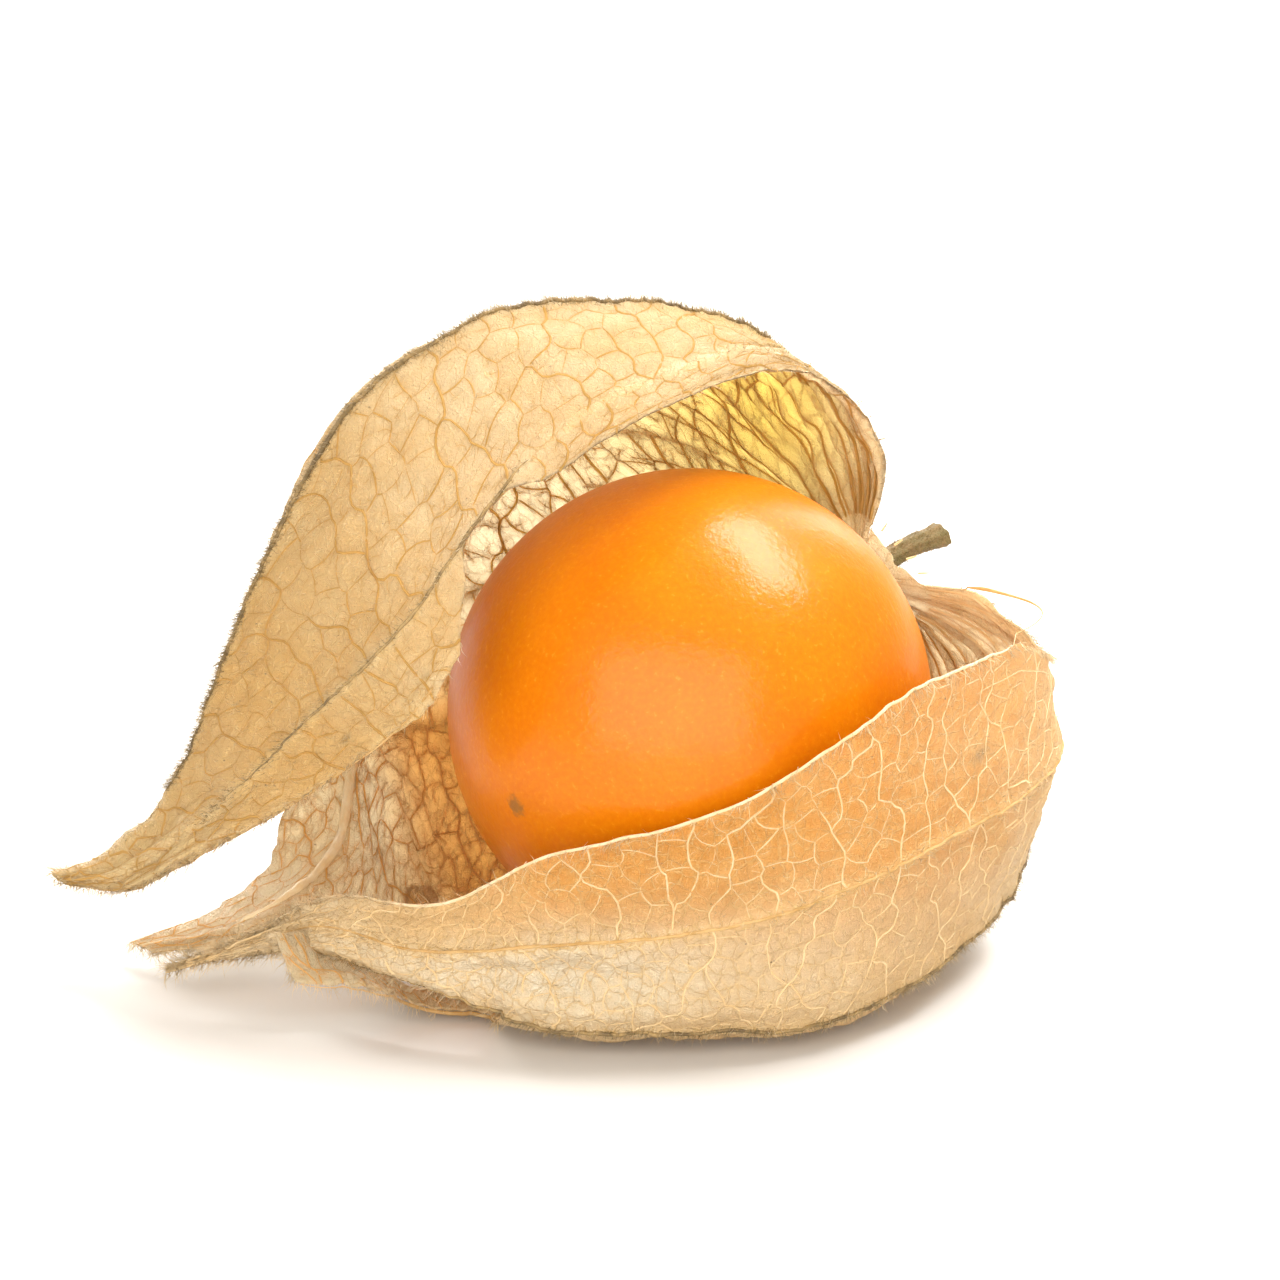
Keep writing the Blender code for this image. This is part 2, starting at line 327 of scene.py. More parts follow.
@dataclass(frozen=True)
class RibFinish:
    """A rib or torn rim: a cord of tougher tissue."""

    name: str
    light: Colour
    dark: Colour
    glow: Colour
    let_through: float = 0.15
    roughness: float = 0.6

    def make(self) -> bpy.types.Material:
        """Builds the rib's material."""
        sheet = ShaderSheet(self.name)
        place = sheet.object_place()
        patch = sheet.noise(place, 0.0009, 4.0, 0.7)
        grain = sheet.noise(place, 0.00012, 2.0)
        colour = sheet.mix(patch.ramp(0.35, 0.65), self.dark, self.light)
        normal = sheet.bump(grain + patch, 0.00008, 0.8)
        body = sheet.principled({"Base Color": colour, "Roughness": self.roughness, "Normal": normal})
        glow = sheet.node("ShaderNodeBsdfTranslucent", {}, {"Color": self.glow})
        return sheet.finish(sheet.blend(self.let_through, body, glow))


@dataclass(frozen=True)
class HairFinish:
    """Fine hairs that catch the light."""

    name: str
    colour: Colour
    let_through: float = 0.4

    def make(self) -> bpy.types.Material:
        """Builds the hairs' material."""
        sheet = ShaderSheet(self.name)
        tint = sheet.noise(sheet.object_place(), 0.0008, 2.0)
        shade = tuple(0.6 * part for part in self.colour)
        colour = sheet.mix(tint.ramp(0.4, 0.6), self.colour, shade)
        body = sheet.principled({"Base Color": colour, "Roughness": 0.45})
        glow = sheet.node("ShaderNodeBsdfTranslucent", {}, {"Color": self.colour})
        return sheet.finish(sheet.blend(self.let_through, body, glow))


@dataclass(frozen=True)
class SkinFinish:
    """The berry's smooth, waxy, slightly clear skin."""

    ripe: Colour = (0.52, 0.132, 0.0)
    bright: Colour = (0.58, 0.172, 0.0)
    pore: Colour = (1.0, 0.52, 0.08)
    scar: Colour = (0.22, 0.10, 0.02)
    scar_way: Point = (-0.70, -0.69, -0.17)

    def make(self) -> bpy.types.Material:
        """Builds the skin's material."""
        sheet = ShaderSheet("berry_skin_look")
        place = sheet.object_place()
        cloud = sheet.noise(place, 0.006, 3.0)
        pores = sheet.noise(place, 0.00022, 2.0, 0.6)
        ripeness = 0.6 * cloud.ramp(0.35, 0.65) + 0.4 * pores.ramp(0.35, 0.65)
        colour = sheet.mix(ripeness, self.ripe, self.bright)
        colour = sheet.mix(pores.ramp(0.62, 0.75) * 0.12, colour, self.pore)
        way = np.array(Vector(self.scar_way).normalized())
        tip = Vector((BERRY_CENTRE + way * BERRY_RADIUS) * MM)
        gap = sheet.node("ShaderNodeVectorMath", {"operation": "DISTANCE"}, {0: place, 1: tuple(tip)}, "Value")
        scar = (gap + 0.0006 * pores).ramp(0.0009, 0.0005)
        colour = sheet.mix(scar * 0.85, colour, self.scar)
        waves = sheet.noise(place, 0.0009, 3.0)
        normal = sheet.bump(pores * 0.5 + waves * 0.9 + cloud * 0.5, 0.00005, 0.7)
        facing = sheet.node("ShaderNodeLayerWeight", {}, {"Blend": 0.5, "Normal": normal}, "Facing")
        gloss = 0.36 * (1.0 - facing) ** 1.3
        return sheet.finish(sheet.principled({
            "Base Color": colour, "Roughness": 0.4, "Normal": normal, "Subsurface Weight": 0.20,
            "Subsurface Radius": (1.0, 0.25, 0.02), "Subsurface Scale": 0.0010,
            "Specular IOR Level": 0.1, "Coat Weight": gloss, "Coat Roughness": 0.17,
            "Coat Normal": normal}))


@dataclass(frozen=True)
class BarkFinish:
    """The dry stem: brown green, streaked lengthways."""

    green: Colour = (0.135, 0.105, 0.03)
    brown: Colour = (0.22, 0.14, 0.05)
    dark: Colour = (0.06, 0.045, 0.02)

    def make(self) -> bpy.types.Material:
        """Builds the stem's material."""
        sheet = ShaderSheet("stem_bark_look")
        place = sheet.object_place()
        patch = sheet.noise(place, 0.0008, 4.0, 0.7)
        grain = sheet.noise(place, 0.00013, 3.0, 0.7)
        colour = sheet.mix(patch.ramp(0.35, 0.65), self.green, self.brown)
        colour = sheet.mix(grain.ramp(0.55, 0.75) * 0.6, colour, self.dark)
        normal = sheet.bump(grain, 0.0001, 0.9)
        return sheet.finish(sheet.principled({"Base Color": colour, "Roughness": 0.75, "Normal": normal}))


@dataclass(frozen=True)
class FloorFinish:
    """Matt white table."""

    white: Colour = (0.62, 0.62, 0.62)

    def make(self) -> bpy.types.Material:
        """Builds the floor's material."""
        sheet = ShaderSheet("floor_look")
        return sheet.finish(sheet.principled({"Base Color": self.white, "Roughness": 0.7,
                                              "Specular IOR Level": 0.2}))


# ---------------------------------------------------------------- form of the husk


class LatticeNoise:
    """Smooth seeded noise over space, from -1 to 1."""

    CELLS = 32

    def __init__(self, seed: int) -> None:
        """Fills the lattice."""
        self.table = np.random.default_rng(seed).uniform(-1.0, 1.0, (self.CELLS,) * 3)

    def at(self, places: np.ndarray, size: float) -> np.ndarray:
        """Noise at places.

        Args:
            places: Positions, last axis of length 3.
            size: Size of the noise's lumps.

        Returns:
            One value for each position.
        """
        cells = places / size
        low = np.floor(cells).astype(int)
        part = cells - low
        part = part * part * (3.0 - 2.0 * part)
        total = np.zeros(places.shape[:-1])
        for corner in np.ndindex(2, 2, 2):
            weight = np.prod(np.where(np.array(corner) == 1, part, 1.0 - part), axis=-1)
            spot = (low + corner) % self.CELLS
            total += weight * self.table[spot[..., 0], spot[..., 1], spot[..., 2]]
        return total


def catmull(p0: np.ndarray, p1: np.ndarray, p2: np.ndarray, p3: np.ndarray, share: np.ndarray) -> np.ndarray:
    """Points on the smooth curve between p1 and p2, a share of the way along."""
    square = share * share
    cube = square * share
    return 0.5 * (2 * p1 + (p2 - p0) * share + (2 * p0 - 5 * p1 + 4 * p2 - p3) * square
                  + (3 * p1 - p0 - 3 * p2 + p3) * cube)


def smooth_step(values: np.ndarray) -> np.ndarray:
    """Eases values from 0 to 1."""
    held = np.clip(values, 0.0, 1.0)
    return held * held * (3.0 - 2.0 * held)


# Turn about the stem in degrees, shoulder radius, and the way from over the berry to the tip.
RIBS: dict[str, tuple[float, float, tuple[Point, ...]]] = {
    "hood_edge": (-4, 4.2, ((4.6, 3.2, 24.2), (-0.5, -3.4, 24.8), (-5.2, -6.4, 22.3), (-9.8, -9.0, 15.4),
                            (-13.0, -9.0, 11.9), (-19.7, -5.0, 6.5), (-25.3, -1.9, 4.1))),
    "hood_front": (-16, 5.0, ((3.9, 4.2, 24.9), (-0.9, -2.2, 25.6), (-6.0, -5.4, 23.4),
                              (-11.2, -8.3, 17.2), (-15.0, -7.3, 13.0), (-20.3, -4.2, 7.2),
                              (-25.9, -1.7, 4.3))),
    "crest": (-34, 5.6, ((2.6, 4.8, 25.3), (-3.2, 2.0, 27.4), (-8.9, -0.5, 27.1), (-14.5, -2.2, 22.6),
                         (-18.0, -2.6, 15.0), (-21.4, -2.0, 7.4), (-26.4, -1.5, 4.6))),
    "hood_back": (-62, 6.2, ((0.3, 9.5, 23.4), (-5.3, 8.3, 24.4), (-10.8, 5.2, 23.0), (-15.6, 2.0, 19.0),
                             (-18.3, -0.5, 13.0), (-21.5, -1.1, 7.0), (-25.9, -1.3, 4.6))),
    "hood_tear": (-88, 6.4, ((-1.2, 12.6, 18.8), (-7.0, 12.0, 19.2), (-12.0, 9.0, 17.8),
                             (-15.9, 5.0, 14.4), (-18.0, 1.6, 10.4), (-21.3, -0.4, 6.3),
                             (-25.3, -1.1, 4.3))),
    "wall_tear": (-112, 6.4, ((-0.3, 14.0, 12.8), (-6.6, 13.2, 12.6), (-11.7, 10.8, 11.2),
                              (-15.2, 7.4, 8.8), (-16.9, 3.8, 5.4), (-18.9, 2.2, 2.3),
                              (-24.2, 0.2, 1.0))),
    "wall_fold": (-136, 6.4, ((1.5, 13.4, 6.8), (-5.0, 12.2, 6.4), (-10.2, 9.4, 7.0), (-13.8, 5.6, 7.6),
                              (-14.7, 1.6, 4.3), (-17.6, -2.7, 3.0), (-22.9, -1.4, 1.1))),
    "floor_back": (-160, 6.2, ((5.5, 10.0, 2.6), (-1.5, 6.5, 0.3), (-7.0, 4.5, 0.6), (-11.0, 1.5, 1.0),
                               (-14.0, -2.0, 1.8), (-17.4, -3.2, 1.9), (-21.3, -3.0, 0.9))),
    "curl_back": (-176, 6.0, ((9.5, 7.0, 1.8), (2.0, 0.5, 0.3), (-4.5, -1.5, 0.3), (-9.0, -3.5, 0.3),
                              (-12.0, -4.8, 0.7), (-14.8, -6.0, 1.3), (-16.9, -7.4, 1.5))),
    "curl_front": (-190, 6.0, ((12.5, 4.5, 2.0), (6.0, -5.0, 0.3), (-1.0, -7.5, 0.3), (-7.2, -7.6, 0.3),
                               (-10.0, -7.6, 0.4), (-12.6, -8.2, 0.5), (-15.6, -8.6, 1.0))),
    "keel": (-212, 6.2, ((14.0, 2.0, 3.6), (8.2, -8.2, 1.7), (1.0, -11.4, 1.2), (-6.5, -11.1, 1.5),
                         (-11.0, -9.2, 2.2), (-15.5, -6.4, 2.6), (-21.4, -5.0, 0.9))),
    "scoop": (-236, 6.0, ((15.0, 0.8, 8.5), (8.8, -8.8, 7.8), (1.5, -11.9, 6.0), (-5.8, -11.5, 5.0),
                          (-10.8, -9.5, 4.0), (-15.4, -6.0, 3.6), (-21.5, -4.9, 1.3))),
    "scoop_rim": (-258, 5.0, ((14.4, 1.7, 14.2), (8.6, -8.2, 14.8), (2.0, -10.6, 10.7),
                              (-5.6, -10.6, 8.6), (-9.9, -9.3, 5.8), (-14.6, -5.7, 4.6),
                              (-20.9, -4.8, 1.5))),
}
TIP_STATION = 8
UNTORN = 99.0


@dataclass
class HuskForm:
    """The husk's middle surface, read at a column of paper, a share across it and a station."""

    hole_radius: float = 0.95
    shoulder_rise: float = 2.2
    tears: dict[str, float] = field(default_factory=lambda: {
        "hood_tear": 4.4, "floor_back": 4.8, "curl_front": 5.2, "scoop_rim": 0.3})
    tear_wave: float = 0.07
    column_cells: tuple[int, ...] = (3, 6, 5, 4, 4, 4, 5, 3, 4, 3, 4, 5, 4)

    def __post_init__(self) -> None:
        """Works out each rib's stations."""
        self.noise = LatticeNoise(23)
        self.names = list(RIBS)
        self.tear_start = np.array([self.tears.get(name, UNTORN) for name in self.names])
        ribs = []
        for turn, shoulder, way in RIBS.values():
            angle = math.radians(turn)
            round_stem = AXIS_UP * math.cos(angle) + AXIS_SIDE * math.sin(angle)
            hole = HOLE_CENTRE + round_stem * self.hole_radius
            over = HOLE_CENTRE + round_stem * shoulder + STEM_AXIS * self.shoulder_rise
            stations = [hole, over, *(np.array(point) for point in way)]
            stations.insert(0, 2 * stations[0] - stations[1])
            stations.append(2 * stations[-1] - stations[-2])
            ribs.append(stations)
        self.stations = np.array(ribs)

    def torn(self, column: np.ndarray, station: np.ndarray) -> np.ndarray:
        """Whether a column of paper is missing at a station."""
        return station > self.tear_start[column % len(self.names)]

    def on_rib(self, rib: np.ndarray, station: np.ndarray) -> np.ndarray:
        """Points of ribs at stations."""
        index = np.clip(station.astype(int), 0, TIP_STATION - 1)
        part = (station - index)[..., None]
        around = rib % len(self.names)
        return catmull(*(self.stations[around, index + step] for step in range(4)), part)

    def at(self, column: np.ndarray, share: np.ndarray, station: np.ndarray) -> np.ndarray:
        """Points of the middle surface."""
        before, near, far, after = (self.on_rib(column + step, station) for step in (-1, 0, 1, 2))
        here = self.torn(column, station)
        loose_start = (self.torn(column - 1, station) & ~here)[..., None]
        loose_end = (self.torn(column + 1, station) & ~here)[..., None]
        before = np.where(loose_start, 2 * near - far, before)
        after = np.where(loose_end, 2 * far - near, after)
        return catmull(before, near, far, after, share[..., None])

    def directions(self, column: np.ndarray, share: np.ndarray, station: np.ndarray) -> tuple:
        """Unit vectors across, along and out of the paper."""
        step = 0.05
        ahead = np.minimum(station + step, TIP_STATION - 0.001)
        behind = np.maximum(station - step, 0.0)
        along = self.at(column, share, ahead) - self.at(column, share, behind)
        aside = self.at(column, share + step, station) - self.at(column, share - step, station)
        out = np.cross(aside, along)
        return tuple(way / np.maximum(np.linalg.norm(way, axis=-1, keepdims=True), 1e-9)
                     for way in (aside, along, out))

    def tear_inset(self, rib: np.ndarray, station: np.ndarray) -> np.ndarray:
        """How far a torn edge draws in from a rib, as a share of the next column."""
        wave = self.tear_wave * (1 + np.sin(2.9 * station + rib) + 0.5 * np.sin(6.3 * station + 2 * rib))
        return np.maximum(wave + 0.02 + self.ragged(rib, station), 0.0)

    def ragged(self, rib: np.ndarray, station: np.ndarray) -> np.ndarray:
        """Uneven small waves of a torn edge, as a share of a column."""
        way = np.stack(np.broadcast_arrays(station * 5.5, rib * 3.7, 0.5), axis=-1)
        waves = 0.05 * self.noise.at(way, 1.9) + 0.025 * self.noise.at(way, 0.6)
        return waves + 0.012 * self.noise.at(way, 0.21)


def touched(faces: np.ndarray) -> np.ndarray:
    """Corners of a grid that touch at least one of the marked faces.

    Args:
        faces: Which faces are marked, by row and line.

    Returns:
        Which corners touch them, one row and one line more.
    """
    corner = np.pad(faces, ((0, 1), (0, 1))) | np.pad(faces, ((1, 0), (1, 0)))
    return corner | np.pad(faces, ((1, 0), (0, 1))) | np.pad(faces, ((0, 1), (1, 0)))


class Lobe(Enum):
    """The husk's pieces of paper: name, first column and last column."""

    HOOD = ("husk_hood", 0, 4)
    WALL = ("husk_wall", 5, 8)
    SCOOP = ("husk_scoop", 9, 12)


# Size of a cell of the vein net, and half widths of its fine and strong veins.
NET_SIZES: dict[Lobe, Point] = {
    Lobe.HOOD: (1.3, 0.034, 0.064),
    Lobe.WALL: (0.95, 0.027, 0.050),
    Lobe.SCOOP: (0.95, 0.027, 0.050),
}


@dataclass(frozen=True)
class Patch:
    """A soft patch on the husk: middle and reach counted in ribs, then in stations, and strength."""

    rib: float
    ribs: float
    station: float
    stations: float
    strength: float = 1.0

    def at(self, number: np.ndarray, station: np.ndarray) -> np.ndarray:
        """Strength of the patch.

        Args:
            number: Places across the husk, counted in ribs.
            station: Places along the ribs.

        Returns:
            One value for each place.
        """
        return self.strength * np.exp(-((number - self.rib) / self.ribs) ** 2
                                      - ((station - self.station) / self.stations) ** 2)


# Pale patches: painted sheen and light on the wall's glossy fold and on the scoop's lower band, and the
# shoulder's real pale tissue.
PAINTED_SHEEN_FOLD = Patch(6.35, 0.5, 5.4, 0.65)
PAINTED_LIGHT_BAND = Patch(10.62, 0.5, 5.2, 1.5)
PALE_SHOULDER = Patch(0.9, 0.7, 1.6, 0.7, 0.8)
# Orange patches: painted bounce light of the berry and painted shade on the scoop and the wall.
PAINTED_BOUNCE_SCOOP = Patch(11.7, 0.8, 3.3, 1.7, 0.95)
PAINTED_BOUNCE_WALL = Patch(6.4, 0.8, 4.2, 0.9, 0.9)
SHOULDER_LUMPS = Patch(2.2, 1.4, 1.1, 0.6, 0.32)


def on_grid(grid: np.ndarray, rows: np.ndarray, lines: np.ndarray) -> np.ndarray:
    """Values of a grid between its rows and lines.

    Args:
        grid: Values by row, line and part.
        rows: Row of each wanted value.
        lines: Line of each wanted value.

    Returns:
        The values, blended from the four nearest.
    """
    top = np.clip(rows.astype(int), 0, grid.shape[0] - 2)
    left = np.clip(lines.astype(int), 0, grid.shape[1] - 2)
    down = np.clip(rows - top, 0.0, 1.0)[..., None]
    right = np.clip(lines - left, 0.0, 1.0)[..., None]
    upper = grid[top, left] * (1 - right) + grid[top, left + 1] * right
    lower = grid[top + 1, left] * (1 - right) + grid[top + 1, left + 1] * right
    return upper * (1 - down) + lower * down


@dataclass(frozen=True)
class Vein:
    """One vein: its way over the sheet's grid, and its half width along it, in millimetres."""

    way: np.ndarray
    widths: np.ndarray


@dataclass
class Knot:
    """A place where veins meet, and the cells that touch there."""

    cells: set[int]
    place: np.ndarray
    count: int = 1


@dataclass
class VeinNet:
    """The net of veins between two ribs: cells, side veins that run along them, and blind ends."""

    flat: np.ndarray
    present: np.ndarray
    random: np.random.Generator
    cell: float
    fine: float
    strong: float
    OUTSIDE = -1

    def grow(self) -> list[Vein]:
        """Grows the net.

        Returns:
            Its veins, with ways in rows and lines of the given grid.
        """
        self._sow()
        if len(self.seeds) < 6:
            return []
        self._find_knots()
        self._find_borders()
        veins = self._side_veins()
        veins += [self._border_vein(*ends) for pair, ends in self.borders.items() if pair not in self.taken]
        return veins + self._blind_ends()

    def _sow(self) -> None:
        """Spreads the cells' middles and gives every corner to the nearest."""
        rows, lines = np.nonzero(self.present)
        places = self.flat[rows, lines]
        order = self.random.permutation(len(places))
        apart = self.cell * self.random.uniform(0.75, 1.25, len(places))
        kept = []
        for index in order[:6000]:
            gaps = places[kept] - places[index]
            if not kept or np.min(np.einsum("ij,ij->i", gaps, gaps)) > apart[index] ** 2:
                kept.append(index)
        self.seeds = np.stack((rows[kept], lines[kept]), axis=1).astype(float)
        spots = places[kept]
        sway = LatticeNoise(9).at(np.pad(self.flat, ((0, 0), (0, 0), (0, 1))), 0.8) * 0.12
        gaps = (self.flat + sway[..., None])[:, :, None] - spots
        labels = np.argmin(np.einsum("ijkl,ijkl->ijk", gaps, gaps), axis=-1) if len(kept) else self.present
        self.labels = np.where(self.present, labels, self.OUTSIDE)

    def _find_knots(self) -> None:
        """Finds where three cells, or two cells and the outside, meet."""
        padded = np.pad(self.labels, 1, constant_values=self.OUTSIDE)
        blocks = np.stack((padded[:-1, :-1], padded[:-1, 1:], padded[1:, :-1], padded[1:, 1:]), axis=-1)
        kinds = 1 + (np.diff(np.sort(blocks, axis=-1), axis=-1) != 0).sum(axis=-1)
        self.knots: list[Knot] = []
        limit = np.array(self.labels.shape) - 1.0
        for row, line in np.argwhere(kinds >= 3):
            cells = set(blocks[row, line].tolist())
            place = np.clip((row - 0.5, line - 0.5), 0.0, limit)
            twin = next((knot for knot in self.knots
                         if knot.cells == cells and np.abs(knot.place - place).max() < 3.0), None)
            if twin is None:
                self.knots.append(Knot(cells, place))
            else:
                twin.place = (twin.place * twin.count + place) / (twin.count + 1)
                twin.count += 1

    def _find_borders(self) -> None:
        """Joins the knots that lie on the border of the same two cells."""
        shared: dict[tuple[int, int], list[int]] = {}
        for number, knot in enumerate(self.knots):
            inner = sorted(knot.cells - {self.OUTSIDE})
            for one in range(len(inner)):
                for other in range(one + 1, len(inner)):
                    shared.setdefault((inner[one], inner[other]), []).append(number)
        self.borders: dict[tuple[int, int], tuple[int, int]] = {}
        for pair, numbers in shared.items():
            options = [(np.abs(self.knots[a].place - self.knots[b].place).sum(), a, b)
                       for a in numbers for b in numbers if a < b]
            if options:
                _gap, start, end = max(options)
                self.borders[pair] = (start, end)

    def _flat_at(self, place: np.ndarray) -> np.ndarray:
        """Flat coordinates of one place of the grid."""
        return on_grid(self.flat, place[:1], place[1:])[0]

    def _side_veins(self) -> list[Vein]:
        """Runs stronger veins from the ribs along borders, leaning towards the tip."""
        self.taken: set[tuple[int, int]] = set()
        spots = [self._flat_at(knot.place) for knot in self.knots]
        near: dict[int, list[tuple[int, tuple[int, int]]]] = {}
        for pair, (start, end) in self.borders.items():
            near.setdefault(start, []).append((end, pair))
            near.setdefault(end, []).append((start, pair))
        last = self.labels.shape[1] - 1
        veins = []
        for side, spacing in ((0, 2.5), (last, 3.2)):
            start_knots = sorted((spots[number][1], number) for number, knot in enumerate(self.knots)
                                 if self.OUTSIDE in knot.cells and abs(knot.place[1] - side) < 0.6)
            reached = -1.0
            for height, number in start_knots:
                if height < reached or number not in near:
                    continue
                reached = height + spacing * self.random.uniform(0.8, 1.35)
                path, pairs = self._route(number, last - side, spots, near)
                if len(path) < 3:
                    continue
                if self.random.uniform() < 0.35:
                    stop = max(3, int(len(path) * 0.65))
                    path, pairs = path[:stop], pairs[:stop - 1]
                self.taken.update(pairs)
                way = self._round(np.array([self.knots[step].place for step in path]))
                veins.append(Vein(way, np.linspace(self.strong, self.fine * 1.25, len(way))))
        return veins

    def _route(self, start: int, goal_line: int, spots: list, near: dict) -> tuple[list, list]:
        """Cheapest way from a knot to the other side.

        Args:
            start: The first knot.
            goal_line: Line of the other side.
            spots: Flat places of the knots.
            near: Neighbours of each knot, with the border between.

        Returns:
            The knots passed and the borders used.
        """
        cost = {start: 0.0}
        before: dict[int, tuple[int, tuple[int, int]]] = {}
        queue = [(0.0, start)]
        best = (math.inf, start)
        while queue:
            spent, here = heapq.heappop(queue)
            if spent > cost[here]:
                continue
            knot = self.knots[here]
            ahead = spots[here][1] - spots[start][1]
            if here != start and abs(knot.place[1] - goal_line) < 0.6 and self.OUTSIDE in knot.cells:
                best = min(best, (spent + 0.8 * abs(ahead - 2.2), here))
            for other, pair in near.get(here, ()):
                step = spots[other] - spots[here]
                length = float(np.hypot(*step))
                price = spent + length + 1.1 * max(0.0, -step[1]) + 0.35 * abs(step[1])
                price += 0.8 * length * (pair in self.taken)
                if price < cost.get(other, math.inf):
                    cost[other] = price
                    before[other] = (here, pair)
                    heapq.heappush(queue, (price, other))
        path, pairs = [best[1]], []
        while path[-1] != start:
            previous, pair = before[path[-1]]
            path.append(previous)
            pairs.append(pair)
        return path[::-1], pairs[::-1]

    @staticmethod
    def _round(way: np.ndarray) -> np.ndarray:
        """Cuts a way's corners a little."""
        cut = 0.2
        ahead = way[:-1] * (1 - cut) + way[1:] * cut
        behind = way[:-1] * cut + way[1:] * (1 - cut)
        inner = np.stack((ahead, behind), axis=1).reshape(-1, 2)
        return np.concatenate((way[:1], inner[1:-1], way[-1:]))

    def _border_vein(self, start: int, end: int) -> Vein:
        """A fine, slightly bowed vein between two knots."""
        first, last = self.knots[start].place, self.knots[end].place
        share = np.linspace(0.0, 1.0, 6)[:, None]
        across = np.array((first[1] - last[1], last[0] - first[0]))
        bow = self.random.uniform(-0.13, 0.13)
        way = first + (last - first) * share + across * bow * np.sin(np.pi * share)
        return Vein(way, np.full(6, self.fine * self.random.choice((0.55, 0.8, 1.0, 1.25))))

    def _blind_ends(self) -> list[Vein]:
        """Hair-thin veins that end inside the cells."""
        veins = []
        for (cell, other), (start, end) in self.borders.items():
            for middle in (cell, other):
                if self.random.uniform() > 0.36:
                    continue
                part = self.random.uniform(0.3, 0.7)
                first = self.knots[start].place * (1 - part) + self.knots[end].place * part
                reach = (self.seeds[middle] - first) * self.random.uniform(0.4, 0.8)
                share = np.linspace(0.0, 1.0, 5)[:, None]
                across = np.array((-reach[1], reach[0])) * self.random.uniform(-0.3, 0.3)
                way = first + reach * share + across * np.sin(np.pi * share)
                veins.append(Vein(way, np.linspace(self.fine * 0.55, self.fine * 0.25, 5)))
        return veins


class Profile:
    """A value that changes along the stations, given at a few of them."""

    def __init__(self, *stops: tuple[float, float]) -> None:
        """Keeps the stops."""
        self.stations, self.values = zip(*stops)

    def at(self, station: np.ndarray) -> np.ndarray:
        """Values at stations."""
        return np.interp(station, self.stations, self.values)


